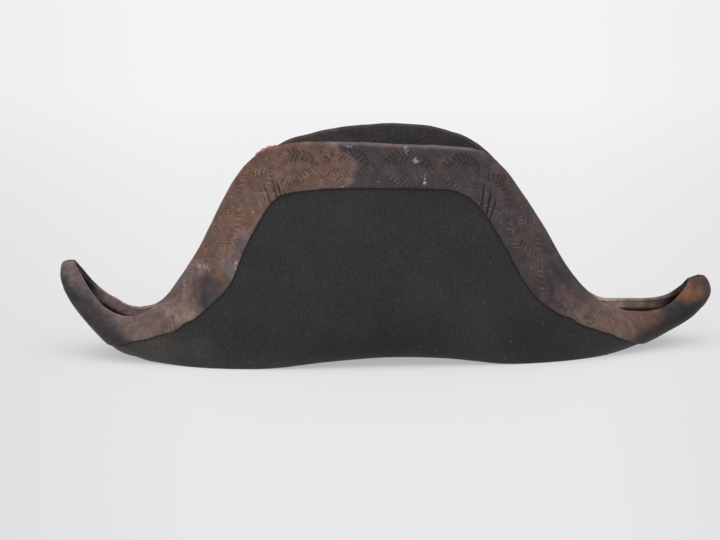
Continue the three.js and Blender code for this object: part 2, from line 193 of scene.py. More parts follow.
# Tucks that take up the ribbon's fullness at the shoulders: X and Z of both ends of each dark fold, and its
# depth
TUCK_COLUMNS = ("x", "z", "low_x", "low_z", "depth")
TUCKS = (
    (-84.5, 126, -79.5, 114, 0.5),
    (-80.2, 134, -74.7, 115.5, 1.1),
    (-76.3, 128, -71.4, 116, 1.1),
    (-71.5, 122, -69, 116.5, 0.6),
    (64.8, 125, 63, 113, 0.6),
    (69.8, 123, 66.5, 106.5, 0.9),
    (73.5, 117, 69, 104, 0.6),
)
TUCK_STRETCH = ((0, 0.5), (1.25, 1.5))  # where along its length a tuck comes in and goes out
TUCK_VALLEY = 0.55  # half width of the dark fold
TUCK_RIDGE = (1.6, 0.7)  # way from the fold to the ridge beside it, and that ridge's half width
VALLEY_DEPTH, RIDGE_HEIGHT = 0.9, 0.7
# painted shade in each fold and painted highlight on the ridge beside it
VALLEY_SHADE, RIDGE_LIGHT = 0.85, 0.35
TUCK_PLACES = ((-88, -66), (60, 78))  # where along the hat they are
FAR_TUCK_DROP = 5  # how much lower they lie on the far flap

# Leaf sprays woven into the ribbon: a chain of wreaths, two branches each
REPEAT = 39.1
REPEAT_START_X = 32.6  # a crossing of the branches on the near flap
WREATH_MIDDLE = 15.2  # from the brim's edge
WREATH_HALF = 8.6
STEM_STRETCH = 1.1  # length of a stem for the length along the ribbon
LEAF_ANGLE = math.radians(44)
LEAF_BEND = 0.06  # how fast a leaf curves along, for its reach squared
LEAF_PITCH = 3.5
LEAF_LENGTH = 7
LEAF_WIDTH = 1.8
LIGHT_LEAF = 0.52  # width of the leaves that show lighter, for that of those that show darker
LEAF_TURN = 0.14  # how far a leaf's lean varies either way
LEAF_LENGTHS = (0.8, 1.1)  # shortest and longest leaf, as shares of that length
LEAST_LEAF = 0.55  # length of the leaves at the ends of a stem, for those in its middle
LEAF_POWER = 0.75  # how full a leaf's outline is
LEAFY_STEM = (0.13, 0.97)  # the part of a stem that has leaves
LEAF_RIM = 0.7  # width of the line beside a leaf, painted lighter beside dark leaves and darker beside light ones
PLAIN_POINTS = 0.35  # how much the leaves show at the points
LEAF_MISSING = 0.08  # share of the leaves that don't show
STEM_WIDTH = 0.55
BERRY_RADIUS = 1.1
BERRY_AWAY = 9.6  # from the wreath's middle
WEAVE_SOFTNESS = 0.4  # how soft the edges of the woven figures are
RIB_PITCH = 1.35

# Threads
STITCH_PITCH = 3.6
STITCH_RADIUS = 0.12
STITCH_COLOUR = (0.10, 0.082, 0.078)
STITCH_SHIFT = 0.8  # how far a stitch strays along the seam
STITCH_SKEW = 0.4
# How far a stitch's places lie inwards, outwards and along, from the ribbon's inner edge and, for the last
# of them, from the felt's middle line
STITCH_PATH = ((-1.1, -0.05, -1), (-0.3, 0.16, 0), (0.28, -0.25, 0))
STITCH_END = (0.75, FELT / 2 + 0.02, 1)
LINT_COUNT = 130
LINT_LENGTHS = (0.5, 0.9)  # the least, and how much longer they are on average
LINT_BEND = 0.5
LINT_RADII = (0.06, 0.13)
LINT_SPECK = 0.06  # how much thicker short ones are
LINT_LIFT = 0.12
LINT_FLOOR = 0.05
LINT_AWAY = 5  # rows from the head opening
LINT_COLOUR = (0.15, 0.145, 0.15)

# Cockade
COCKADE_RADIUS = 18
COCKADE_X = -80
COCKADE_Z = 122
COCKADE_THICKNESS = 2.4
COCKADE_DOME = 2.2
COCKADE_PLEATS = 22
PLEAT_HEIGHT = 1.3
COCKADE_LIFT = 3.6  # of its back above the felt's middle line
COCKADE_DIMPLE, DIMPLE_SHARE = 1.2, 0.16
PLEAT_STARTS = (0.05, 0.5)  # where the pleats rise, on the way from the middle
PLEAT_ARC = 0.62 * math.pi
PLEAT_NOTCH = 0.012
COCKADE_BACK = 0.985  # radius of its back, for that of its front
COCKADE_WAVE, WAVE_SIZE = 0.3, 5
WAVE_REACH = (20, 9)  # round the middle and outwards
FIRST_ROW = 0.12
HOLE_SHARE = 0.1  # of the ring round the middle of the back
# painted shade in the pleats' valleys and painted light on their crests and the middle
PAINTED_VALLEY_LIGHT, PAINTED_PLEAT_LIGHT, PAINTED_MIDDLE_LIGHT = 0.72, 0.4, 0.8
COCKADE_ROWS = 26
LINES_PER_PLEAT = 7

# Colours
FELT_BLACK = np.array((0.0205, 0.0198, 0.0218))
FELT_DUSTY = np.array((0.044, 0.0385, 0.035))
RIBBON_BROWN = np.array((0.128, 0.071, 0.052))
RIBBON_RUST = np.array((0.106, 0.057, 0.042))
RIBBON_GREY = np.array((0.040, 0.029, 0.0305))
RIBBON_DARK = np.array((0.042, 0.032, 0.033))
RIBBON_MAUVE = np.array((0.119, 0.078, 0.070))
RIBBON_ASH = np.array((0.118, 0.090, 0.091))
RIBBON_SLATE = np.array((0.088, 0.070, 0.072))
RIBBON_TAN = np.array((0.138, 0.084, 0.068))
RIBBON_ORANGE = np.array((0.155, 0.069, 0.034))
RIBBON_UMBER = np.array((0.063, 0.034, 0.027))
RIBBON_PALE = np.array((0.200, 0.132, 0.114))
LEAF_GOLD = np.array((0.230, 0.136, 0.086))
RIBBON_INSIDE = np.array((0.051, 0.046, 0.054))
POINT_PAINTED_SHADE = np.array((0.24, 0.27, 0.31))  # painted shade: light left below the shade lines of the points
INSIDE_PAINTED_LIGHTS = np.array(((2.2, 2.1, 2.0), (2.35, 2.95, 3.3)))  # painted light: how much lighter the inner face is painted inside the left and the right point
# painted shade deep inside the points
INSIDE_PAINTED_SHADE = 0.13
INSIDE_DARKENS = (4, 6.5)  # from the brim's edge, where the inner face at the points is painted dark, painted shade deep in the slit
TIP_DARKENS = (197, 210)  # the same, towards the ends of the points
TIP_ENDS = (217, 222)  # where the far fold meets the near one
RIBBON_CHALK = np.array((0.40, 0.375, 0.38))

# Painted light and painted shade on the felt, darker low down and in a hollow, lighter on a bulge, up high
# and along the bottom: X and Z of the middle, the reach both ways and the change
FELT_PAINTED_SHADE_COLUMNS = ("x", "z", "reach_x", "reach_z", "change")
FELT_PAINTED_SHADES = (
    (-5, 15, 50, 18, -0.38),
    (108, 16, 34, 24, -0.36),
    (64, 26, 13, 22, 0.18),
    (-40, 105, 60, 22, 0.1),
    (-80, -2, 40, 10, 0.5),
    (165, 6, 30, 10, -0.3),
)

# Where the ribbon's colour changes: X and Z of a patch's middle, its reach both ways, how soft its edge is,
# its colour and how strong it is
PATCH_COLUMNS = ("x", "z", "reach_x", "reach_z", "softness", "colour", "strength")
PATCHES = (
    (-107, 118, 62, 66, 0.3, RIBBON_BROWN, 1.0),
    (-75, 138, 54, 18, 0.07, RIBBON_RUST, 1.0),
    (-158, 28, 56, 40, 0.35, RIBBON_MAUVE, 1.0),
    (-143, 37.5, 19, 5, 0.5, RIBBON_PALE, 0.9),
    (-133, 58, 8, 13, 0.5, RIBBON_PALE, 0.55),
    (-121.5, 51, 12.5, 13, 0.5, RIBBON_DARK, 1.0),
    (-96, 82, 6, 11, 0.5, RIBBON_SLATE, 0.8),
    (-105, 65, 6, 11, 0.5, RIBBON_SLATE, 0.8),
    (-215, 46, 34, 34, 0.4, RIBBON_ASH, 1.0),
    (152, 25, 30, 20, 0.5, RIBBON_TAN, 0.8),
    (188, 21, 16, 14, 0.6, RIBBON_RUST, 0.6),
    (162, 23, 9, 5, 0.8, RIBBON_ORANGE, 0.35),
    (187, 26, 8, 4, 0.8, RIBBON_ORANGE, 0.35),
    (127, 40, 14, 12, 0.6, RIBBON_TAN, 0.35),
    (99, 76, 5, 16, 0.6, RIBBON_RUST, 0.12),
    (73, 124, 3, 9, 0.6, RIBBON_RUST, 0.4),
    (37, 142, 6, 3, 0.6, RIBBON_RUST, 0.4),
    (218, 45, 20, 12, 0.4, RIBBON_UMBER, 1.0),
    (210, 38, 14, 5, 0.4, RIBBON_ORANGE, 1.0),
)

# Painted shade: the lower part of each point is painted dark below a line, in X and Z
SHADE_LINES = (
    (-230, 64), (-216, 54), (-208, 47.5), (-200, 40), (-190, 30.5), (-177, 20), (-165, 7), (-154, -20),
    (152, -20), (168, 9), (182, 19.5), (195, 27), (203, 33.5), (229, 38),
)

# Tide lines of dried stains: X and Z of the middle and the reach both ways
TIDE_COLUMNS = ("x", "z", "reach_x", "reach_z")
TIDES = (
    (-75, 138, 54, 18),
    (-122, 56, 17, 15),
    (-99, 75, 7, 19),
)

LEAFLESS = (-123, 52, 15, 15)  # a stain that hides the leaves
DUST = (-158, 8, 60, 30)  # where the felt is dusty

# Chalky spots: X and Z of the middle, the reach both ways and the strength
CHALK_COLUMNS = ("x", "z", "reach_x", "reach_z", "strength")
CHALK = (
    (12, 148, 3.5, 3.5, 0.8),
    (14.5, 144.5, 3, 2, 0.7),
    (18.5, 141, 3, 3, 1.05),
    (24.5, 129, 1.3, 5, 1.0),
    (24.5, 126, 2, 2, 1.05),
    (-27, 150, 7, 2.5, 0.7),
    (-30, 124, 6, 1.5, 0.7),
    (-94, 86, 3, 9, 0.8),
    (-103, 70, 3, 9, 0.75),
    (-126, 68, 12, 4.5, 0.8),
    (-139, 55, 4, 8, 0.6),
    (-75, 115.5, 5, 1.2, 0.8),
)

COCKADE_COLOURS = ((0.42, 0.080, 0.085, 1), (0.65, 0.175, 0.175, 1))
WARM_TINT = np.array((0.1, 0, -0.1))

# Layers of noise: the strength, size and seed of each
STAIN_WARP = ((3.2, 9, 21), (1.2, 3, 24))
MOTTLE = ((0.2, 9, 31), (0.2, 3.2, 32))
WARMTH = ((0.9, 7, 33), (0.7, 3, 34))
SHADE_RAGGED = ((1.6, 6, 41), (0.7, 2, 42))
LEAF_STRAYS_ACROSS = ((0.9, 15, 44), (0.4, 6, 45))
LEAF_STRAYS_ALONG = ((1.3, 17, 46), (0.5, 6, 47))
FELT_MOTTLE = ((0.1, 25, 8),)
DUST_MOTTLE = ((0.5, 14, 9),)
DUST_STRENGTH = 0.7
DUST_FADES = (0.2, 1.1)

# How the leaves show, as painted sheen of the satin weave: below 0 darker, above 0 with lighter outlines.
# Each stretch along the hat has a start and an end, and each of those a place where the change begins and
# one where it is done.
LEAF_TONE = -0.3
MIDDLE_STRETCH = ((-80, -62), (50, 66))
MIDDLE_TONES = (-0.22, 1.3)  # added on the upper and the lower branches
RIGHT_STRETCH = ((54, 66), (101, 111))
RIGHT_TONES = (-0.2, 1.0)
CORNER_STARTS = (80, 92)
CORNER_TONE = 0.7  # on the upper branches farther down the right slope
LEFT_STRETCH = ((-126, -110), (-80, -66))
LEFT_TONE = 0.85
INSIDE_TONE = -0.13
BRANCH_BLEND = 2  # how far across from the wreath's middle the tone changes
PLAIN_STARTS = (135, 170)
STAIN_HIDES = 0.85
RIM_LIGHT = 0.6  # painted highlight on the line beside a dark leaf, for that leaf's tone
RIM_DARK = -0.36  # painted shade on the line beside a light leaf
GOLD_ENDS = (-60, -30)
RIGHT_GOLD = 0.42
RIGHT_GOLD_STARTS = (72, 88)
GOLD_STRENGTH = 0.68
DULL_GOLD = 0.7
RIB_STRETCH = ((-60, -30), (30, 55))
RIB_STARTS = (6, 12)  # from the brim's edge
LEAST_RIBS = 0.25

# Painted light and painted shade on the ribbon, with its wear and fading
SHADE_SOFT = (-4, 8)  # how far above and below its shade line a point changes
WORN_TOP = ((-45, -28), (48, 70))
WORN_SLOPE = ((52, 64), (108, 122))
SLOPE_FADES = (3, 7)  # from the brim's edge
SLOPE_LIGHT = 0.34
# the lip along the fold: part wear, part painted highlight where the light falls from above
LIP_WIDTH = 0.9
NEAR_LIP, TOP_LIP, FAR_LIP = 0.25, 2.0, 0.1
OPEN_AIR = (100, 150)  # where along the hat the inner face is open to the air
LEAST_AIR = 0.2
FAR_SIDE_Y = 5  # where the far flap begins
FAR_GREY = 0.75
FAR_GREY_ENDS = (110, 150)
AT_POINTS = (135, 160)  # where along the hat the points begin
FAR_RIM_STARTS = 140
NO_TIDE = 9  # a way to the nearest tide line at which it doesn't show

# Finish of the materials, on their shaders
FELT_FINISH = {"Roughness": 0.95, "Specular IOR Level": 0.15, "Sheen Weight": 0.12, "Sheen Roughness": 0.6}
RIBBON_FINISH = {"Roughness": 0.68, "Specular IOR Level": 0.3, "Sheen Weight": 0.05}
THREAD_FINISH = {"Roughness": 0.9}
COCKADE_FINISH = {"Roughness": 0.75}
FLOOR_FINISH = {"Roughness": 0.9, "Specular IOR Level": 0, "Emission Strength": 1.0}

# Grain of the materials: how fine it is, its detail and its roughness
FELT_FIBRES = (900, 4, 0.7)
FELT_CLOUDS = (70, 5, 0.6)
RIBBON_THREADS = (1100, 3, 0.7)
RIBBON_WEAR = (210, 5, 0.65)
RIBBON_POWDER = (520, 5, 0.75)
COCKADE_THREADS = (1000, 3, 0.5)
NAP_STRETCH = (1.0, 1.0, 0.45)
NAP_TURN = (0, 0.5, 0)

# How a value in a material is turned into another: two values, and what they become
FIBRE_LIGHT = (0.3, 0.72, 0.55, 1.5)
CLOUD_LIGHT = (0.3, 0.7, 0.9, 1.12)
THREAD_LIGHT = (0.3, 0.7, 0.74, 1.26)
WEAR_LIGHT = (0.3, 0.7, 0.72, 1.28)
LEAF_BREAKS = (0.36, 0.58, 0.3, 1.0)
LEAF_SHOWS = (0.0, 0.3, 0.0, 0.9)
TIDE_SHOWS = (0.0, 1.4, 0.22, 0.0)
POWDER_BREAKS = (0.42, 0.62, 0.1, 1.0)
CHALK_SHOWS = (0.82, 1.02, 0.0, 0.9)
COCKADE_MIX = (0.3, 0.7, 0.0, 1.0)
TONE_TURNS = (-0.05, 0.05)  # where leaves go from dark and wide to light and narrow
RIB_LIGHT = 0.15
CHALK_DUST = 0.5

# Relief: heights of the leaves and threads for that of a rib, then the strength and depth of each relief
LEAF_HEIGHT = 2.2
THREAD_HEIGHT = 0.8
FELT_RELIEF = (0.35, 0.0006)
RIBBON_RELIEF = (0.5, 0.0002)
COCKADE_RELIEF = (0.4, 0.0003)

# Floor, in metres
FLOOR_HALF = 40
# painted light: the floor's grey is painted darker near and lighter far off
FLOOR_NEAR = (0.408, 0.408, 0.413, 1)
FLOOR_FAR = (0.457, 0.457, 0.461, 1)
FLOOR_CHANGES = (-0.4, 2.5)
# a painted pool of light: the floor is painted darker towards the sides
POOL_EDGES = (0.11, 0.24)  # how far to the sides the floor starts and ends to darken, for the way to it
POOL_START = -1.3  # where the pool of light has no width
POOL_DARKENING = 0.92
POOL_FADES = (-1.1, -0.45)  # in front of the hat the floor is even

RANDOM = np.random.default_rng(41)
sections = {name: np.array(column, float) for name, column in zip(SECTION_COLUMNS, zip(*SECTIONS))}
HEAD_AXES = ((HEAD_LENGTH + FELT) / 2, (HEAD_WIDTH + FELT) / 2)


# Small helpers

def lerp(a, b, share):
    return a + (b - a) * share


def smoothstep(x, low, high):
    t = np.clip((x - low) / (high - low), 0, 1)
    return t * t * (3 - 2 * t)


def band(x, rise, fall):
    """1 between a rise and a fall, each given by the two ends of its change, and 0 outside them."""
    return smoothstep(x, *rise) * (1 - smoothstep(x, *fall))


def unit(vectors):
    return vectors / np.maximum(np.linalg.norm(vectors, axis=-1, keepdims=True), 1e-9)


def noise(points, size, seed=0):
    """Smooth noise from -1 to 1 at each point, with features of about the given size."""
    scaled = points / size
    base = np.floor(scaled).astype(np.int64)
    share = scaled - base
    share = share * share * (3 - 2 * share)
    total = np.zeros(points.shape[:-1])
    for corner in itertools.product((0, 1), repeat=3):
        cell = base + np.array(corner)
        mixed = cell[..., 0] * 73856093 ^ cell[..., 1] * 19349663 ^ cell[..., 2] * 83492791 ^ seed * 40503
        mixed = (mixed ^ (mixed >> 13)) * 1274126177 & 0x7FFFFFFF
        mixed = (mixed ^ (mixed >> 15)) * 668265263 & 0x7FFFFFFF
        weight = np.prod(np.where(corner, share, 1 - share), axis=-1)
        total += weight * (mixed / 0x7FFFFFFF)
    return 2 * total - 1


def bisect(low, high, test):
    """Where a rising test turns from false to true, for arrays of lows and highs."""
    low, high = np.array(low, float), np.array(high, float)
    for _ in range(30):
        middle = (low + high) / 2
        passed = test(middle)
        high = np.where(passed, middle, high)
        low = np.where(passed, low, middle)
    return (low + high) / 2


# The surface of the brim

def plan_half(x, half, reach, power):
    return half * (1 - (np.abs(x) / reach) ** power)


def far_half(x):
    away = np.abs(x)
    upright = FAR_UPRIGHT * band(away, UPRIGHT_STARTS, UPRIGHT_ENDS)
    return lerp(plan_half(x, *EDGE_PLAN), plan_half(x, *BELLY_PLAN), upright)


def sway(x, share):
    """How far a place stands aslant; the share goes from 0 on the underside to 1 at a flap's edge."""
    return SWAY * x * (1 - share * (1 - smoothstep(np.abs(x), *SWAY_STARTS)))


def curve(points, stations):
    """Places on a centripetal Catmull-Rom curve; station 0 is the first point, 1 the second and so on."""
    padded = np.vstack([2 * points[0] - points[1], points, 2 * points[-1] - points[-2]])
    first = np.clip(np.floor(stations).astype(int), 0, len(points) - 2)
    t = (stations - first)[..., None]
    p0, p1, p2, p3 = (padded[first + i] for i in range(4))
    steps = (p1 - p0, p2 - p1, p3 - p2)
    d0, d1, d2 = (np.sqrt(np.linalg.norm(step, axis=-1, keepdims=True)) for step in steps)
    leave = ((p1 - p0) / d0 - (p2 - p0) / (d0 + d1) + (p2 - p1) / d1) * d1
    arrive = ((p2 - p1) / d1 - (p3 - p1) / (d1 + d2) + (p3 - p2) / d2) * d1
    cubic = 2 * p1 - 2 * p2 + leave + arrive
    square = -3 * p1 + 3 * p2 - 2 * leave - arrive
    return ((cubic * t + square) * t + leave) * t + p1


def above_crease(x, z, row):
    """How far places lie above a crease, seen from the front."""
    crease = dict(zip(CREASE_COLUMNS, row))
    run, climb = crease["out_x"] - crease["x"], crease["out_z"] - crease["z"]
    side = np.sign(run)
    return ((z - crease["z"]) * side * run - (x - crease["x"]) * side * climb) / math.hypot(run, climb)


def lean_back(x, z):
    """How far the ends of the points lean back, above their creases."""
    shift = 0
    for row in CREASES:
        above = above_crease(x, z, row)
        bent = (above + np.hypot(above, CREASE_SOFTNESS)) / 2
        shift = shift + row[-1] * bent * smoothstep(np.sign(row[0]) * x, *LEAN_STARTS)
    return shift


def round_ends(points):
    """Draws the ends of the points in to a rounded tip."""
    points = points.copy()
    for row in ENDS:
        end = dict(zip(END_COLUMNS, row))
        way = np.array((end["way_x"], 0, end["way_z"]))
        tip_y = sway(end["x"], 1) + lean_back(end["x"], end["z"])
        tip = np.array((end["x"], tip_y, end["z"]))
        reach = (points - tip) @ way + end["length"]
        near = (reach > 0) & (np.linalg.norm(points - tip, axis=-1) < 4 * end["length"])
        share = np.clip(END_ROUNDNESS * reach / end["length"], 0, 0.98)
        middle = tip + way * (reach - end["length"])[..., None]
        drawn = middle + (points - middle) * np.sqrt(1 - share**2)[..., None]
        points = np.where(near[..., None], drawn, points)
    return points


EDGE_X = sections["edge_x"]
NEAR_EDGE = np.stack([EDGE_X, -plan_half(EDGE_X, *EDGE_PLAN), sections["near_z"]], axis=1)
FAR_EDGE = np.stack([EDGE_X, far_half(EDGE_X), sections["far_z"]], axis=1)
KEEL = np.stack([sections["keel_x"], 0 * EDGE_X, sections["keel_z"]], axis=1)


def brim_point(station, across):
    """The felt's middle surface; across is -1 at the near edge, 0 under the middle and 1 at the far edge."""
    station, across = np.broadcast_arrays(np.asarray(station, float), np.asarray(across, float))
    edge = np.where((across < 0)[..., None], curve(NEAR_EDGE, station), curve(FAR_EDGE, station))
    fold = curve(KEEL, station)
    edge_y = np.abs(edge[..., 1])
    depth = np.hypot(edge[..., 0] - fold[..., 0], edge[..., 2] - fold[..., 2])
    belly = plan_half(edge[..., 0], *BELLY_PLAN)
    flat = np.maximum(plan_half(fold[..., 0], *FLAT_PLAN), FLAT_SHARE * belly)
    belly_share = np.minimum(POINT_BELLY, BELLY_RISE / depth)
    a = np.abs(across)
    turn = np.clip((a - FOLD_STARTS) / (FLAP_STARTS - FOLD_STARTS), 0, 1) * math.pi / 2
    rise = np.clip((a - FLAP_STARTS) / (1 - FLAP_STARTS), 0, 1)
    half = flat * np.minimum(a / FOLD_STARTS, 1) + (belly - flat) * np.sin(turn)
    half = half - (belly - edge_y) * rise**LEAN_POWER
    share = belly_share * (1 - np.cos(turn)) + (1 - belly_share) * rise
    x = fold[..., 0] + (edge[..., 0] - fold[..., 0]) * share
    z = np.maximum(fold[..., 2] + (edge[..., 2] - fold[..., 2]) * share, FELT / 2)
    return np.stack([x, np.sign(across) * half + sway(x, share) + lean_back(x, z), z], axis=-1)


def station_of_x(x):
    return bisect(
        np.full(np.shape(x), POINT_SECTIONS),
        np.full(np.shape(x), LAST - POINT_SECTIONS),
        lambda station: curve(KEEL, station)[..., 0] > x,
    )


EDGE_SAMPLES = {side: brim_point(np.linspace(0, LAST, EDGE_FINENESS * LAST + 1), side) for side in (-1, 1)}


def ribbon_width(x):
    table = dict(zip(WIDTH_COLUMNS, zip(*RIBBON_WIDTHS)))
    return np.interp(x, table["x"], table["width"])


def ribbon_across(station, side):
    """How far across a section the ribbon's inner edge lies."""
    station = np.asarray(station, float)
    widths = ribbon_width(EDGE_SAMPLES[side][:, 0])

    def within(a):
        point = brim_point(station, side * a)
        wander = EDGE_WANDER * noise(point, WANDER_SIZE, seed=5)
        gaps = np.linalg.norm(point[..., None, :] - EDGE_SAMPLES[side], axis=-1) - widths
        return gaps.min(axis=-1) < wander

    return bisect(np.zeros(station.shape), np.ones(station.shape), within)


def smooth_across(station, side):
    """The same, evened out along the brim, so that the ribbon's inner edge has no sharp corner."""
    places = [np.clip(station + step, 0, LAST) for step in EDGE_SMOOTHING]
    return np.mean([ribbon_across(place, side) for place in places], axis=0)


def point_station(inner, outer):
    """The station where the ribbon's inner edge comes close to the middle of the underside."""
    share = bisect([0], [1], lambda s: ribbon_across(lerp(inner, outer, s), -1) < POINT_SEAM)[0]
    return lerp(inner, outer, share)


SIDE_FIRST = point_station(POINT_SECTIONS + 2, 1)
SIDE_LAST = point_station(LAST - POINT_SECTIONS - 2, LAST - 1)


def rim_at(angle):
    """Where the wall of the crown meets the brim, at an angle round the head opening."""
    x = (HEAD_AXES[0] + RIM_FLARE) * np.cos(angle)
    y = (HEAD_AXES[1] + RIM_FLARE) * np.sin(angle)
    station = station_of_x(x)
    low, high = np.zeros(angle.shape), np.full(angle.shape, FLAP_STARTS)
    across = bisect(low, high, lambda a: brim_point(station, a)[..., 1] - sway(x, 0) > np.abs(y))
    return np.stack([station, np.sign(y) * across], axis=1)


def spaced_stations(first, last, side, step, dense=()):
    """Stations along a flap's edge, evenly spaced in length, and closer over the dense stretches of X."""
    fine = np.linspace(first, last, FINE_STATIONS)
    edge = brim_point(fine, side)
    length = np.concatenate([[0], np.cumsum(np.linalg.norm(np.diff(edge, axis=0), axis=1))])
    places = [np.linspace(0, length[-1], max(2, round(length[-1] / step) + 1))]
    for low, high, dense_step in dense:
        inside = length[(edge[:, 0] > low) & (edge[:, 0] < high) & (edge[:, 2] > FLAP_TOPS)]
        places[0] = places[0][(places[0] < inside[0]) | (places[0] > inside[-1])]
        places.append(np.arange(inside[0], inside[-1], dense_step))
    return np.interp(np.sort(np.concatenate(places)), length, fine)


def pairs(stations, across):
    return np.stack(np.broadcast_arrays(stations, across), axis=1)


def side_lines(stations, side):
    share = (stations - SIDE_FIRST) / (SIDE_LAST - SIDE_FIRST)
    angle = side * (math.pi - POINT_ANGLE - (math.pi - 2 * POINT_ANGLE) * share)
    ribbon = pairs(stations, side * smooth_across(stations, side))
    edge = pairs(stations, side)
    return angle, ribbon, edge


def point_lines(start, end, side_from, step):
    """Lines that run out to a point: its edge is followed along one flap, round the end and back."""
    out = spaced_stations(start, end, side_from, step)[1:-1]
    turn = np.cos(np.linspace(0, math.pi, TURN_LINES))
    round_end = pairs(end, side_from * turn)
    edge = np.concatenate([pairs(out, side_from), round_end, pairs(out[::-1], -side_from)])
    swing = 2 * np.arange(1, len(edge) + 1) / (len(edge) + 1) - 1
    angle = (0 if end > start else math.pi) + POINT_ANGLE * swing
    bulge = SEAM_BULGE * (end - start) * (1 - swing**2)
    ribbon = pairs(start + bulge, -side_from * POINT_SEAM * swing)
    return angle, ribbon, edge


def lines_round(step, dense=()):
    """All lines in order round the hat: near flap, right point, far flap, left point."""
    near = spaced_stations(SIDE_FIRST, SIDE_LAST, -1, step, dense)
    far = spaced_stations(SIDE_FIRST, SIDE_LAST, 1, step, dense)[::-1]
    parts = [
        side_lines(near, -1),
        point_lines(SIDE_LAST, LAST, -1, step),
        side_lines(far, 1),
        point_lines(SIDE_FIRST, 0, 1, step),
    ]
    angle, ribbon, edge = (np.concatenate(column) for column in zip(*parts))
    return {"angle": angle, "rim": rim_at(angle), "ribbon": ribbon, "edge": edge}


def ribbon_grid(lines, rows):
    shares = np.linspace(0, 1, rows + 1)[None, :, None]
    at = lerp(lines["ribbon"][:, None], lines["edge"][:, None], shares)
    return brim_point(at[..., 0], at[..., 1])


def brim_grid(lines, rows):
    belly = (lines["rim"] + lines["ribbon"]) / 2
    belly[:, 1] = np.clip(belly[:, 1], -FLAP_STARTS, FLAP_STARTS)
    shares = np.arange(rows)[None, :, None] * 2 / rows
    low = lerp(lines["rim"][:, None], belly[:, None], shares)
    high = lerp(belly[:, None], lines["ribbon"][:, None], shares - 1)
    at = np.where(shares < 1, low, high)
    return brim_point(at[..., 0], at[..., 1])


def crown_grid(lines, rows):
    """The crown from near its top down to just above the head opening."""
    base = brim_point(lines["rim"][:, 0], lines["rim"][:, 1])[:, 2]
    turn = np.linspace(CROWN_MIDDLE, 1, rows, endpoint=False) * math.pi / 2
    share = np.cos(turn)[None] ** (2 / CROWN_POWER)
    narrowing = np.sin(turn)[None] ** (2 / CROWN_POWER)
    rise = share * (CROWN_TOP - base)[:, None]
    flare = RIM_FLARE * np.maximum(0, 1 - rise / RIM_FLARE_HEIGHT) ** 2
    angle = lines["angle"][:, None]
    x = (HEAD_AXES[0] * narrowing + flare) * np.cos(angle)
    y = (HEAD_AXES[1] * narrowing + flare) * np.sin(angle) + sway(x, 0)
    return np.stack([x, y, base[:, None] + rise], axis=-1)


def grid_normals(grid):
    """Unit normals of a ring of lines, on the side that is outside the flaps and under the brim."""
    along = np.roll(grid, -1, axis=0) - np.roll(grid, 1, axis=0)
    up = np.empty_like(grid)
    up[:, 1:-1] = grid[:, 2:] - grid[:, :-2]
    up[:, 0] = grid[:, 1] - grid[:, 0]
    up[:, -1] = grid[:, -1] - grid[:, -2]
    return unit(np.cross(along, up))


def swell(points):
    """Soft unevenness of the hat's form, which dies away where it stands on the floor."""
    fade = smoothstep(points[..., 2], *SWELL_STARTS)
    return fade * SWELL_HEIGHT * noise(points, SWELL_SIZE, seed=1)


# Meshes

def make_mesh(name, points, faces, material, attributes=()):
    mesh = bpy.data.meshes.new(name)
    placed = (np.asarray(points, float) - (LENGTH_MIDDLE, 0, 0)) * MM
    mesh.from_pydata(placed.tolist(), [], [list(map(int, f)) for f in faces])
    for label, values in attributes:
        values = np.asarray(values, np.float32)
        if values.ndim == 1:
            layer = mesh.attributes.new(label, "FLOAT", "POINT")
            layer.data.foreach_set("value", values)
        else:
            layer = mesh.attributes.new(label, "FLOAT_COLOR", "POINT")
            rgba = np.concatenate([values, np.ones((len(values), 1), np.float32)], axis=1)
            layer.data.foreach_set("color", rgba.ravel())
    mesh.polygons.foreach_set("use_smooth", np.ones(len(mesh.polygons), bool))
    mesh.materials.append(material)
    mesh.update()
    piece = bpy.data.objects.new(name, mesh)
    bpy.context.scene.collection.objects.link(piece)
    return piece


def ring_faces(count, rows, closed=False, start=0):
    """Quads between neighbouring lines of a ring of lines that all have the same number of rows."""
    line = np.arange(count)[:, None]
    row = np.arange(rows if closed else rows - 1)[None]
    after = (row + 1) % rows
    here, there = start + line * rows, start + (line + 1) % count * rows
    return np.stack([here + row, there + row, there + after, here + after], axis=-1).reshape(-1, 4)


def ring_starts(count, rows):
    """The first point of each line of a ring of lines, and that of the line after it."""
    line = np.arange(count)
    return line * rows, (line + 1) % count * rows


def fan(here, there, apex):
    return [(a, b, apex) for a, b in zip(here, there)]


# Colours

def layered(points, layers):
    return sum(strength * noise(points, size, seed) for strength, size, seed in layers)


def patch_distance(points, row, columns):
    """How far places are from a patch's middle, as a share of its reach."""
    patch = dict(zip(columns, row))
    aside = (points[..., 0] - patch["x"]) / patch["reach_x"]
    above = (points[..., 2] - patch["z"]) / patch["reach_z"]
    return np.hypot(aside, above)


def patch_glow(points, row, columns):
    """1 in a patch's middle, falling off softly."""
    return np.exp(-patch_distance(points, row, columns) ** 2)


def stain_warp(points):
    """Places moved about a little, so that patches get ragged edges."""
    ways = []
    for axis in range(3):
        ways.append(layered(points, [(strength, size, seed + axis) for strength, size, seed in STAIN_WARP]))
    return points + np.stack(ways, axis=-1)


def ribbon_colour(points):
    """The ribbon's ground colour at places on it, faded and stained."""
    warped = stain_warp(points)
    colour = np.broadcast_to(RIBBON_GREY, points.shape).copy()
    for row in PATCHES:
        patch = dict(zip(PATCH_COLUMNS, row))
        far = patch_distance(warped, row, PATCH_COLUMNS)
        weight = patch["strength"] * (1 - smoothstep(far, 1 - patch["softness"], 1 + patch["softness"]))
        colour = lerp(colour, patch["colour"], weight[..., None])
    mottle = 1 + layered(points, MOTTLE)
    warmth = layered(points, WARMTH)
    return colour * mottle[..., None] * (1 + warmth[..., None] * WARM_TINT)


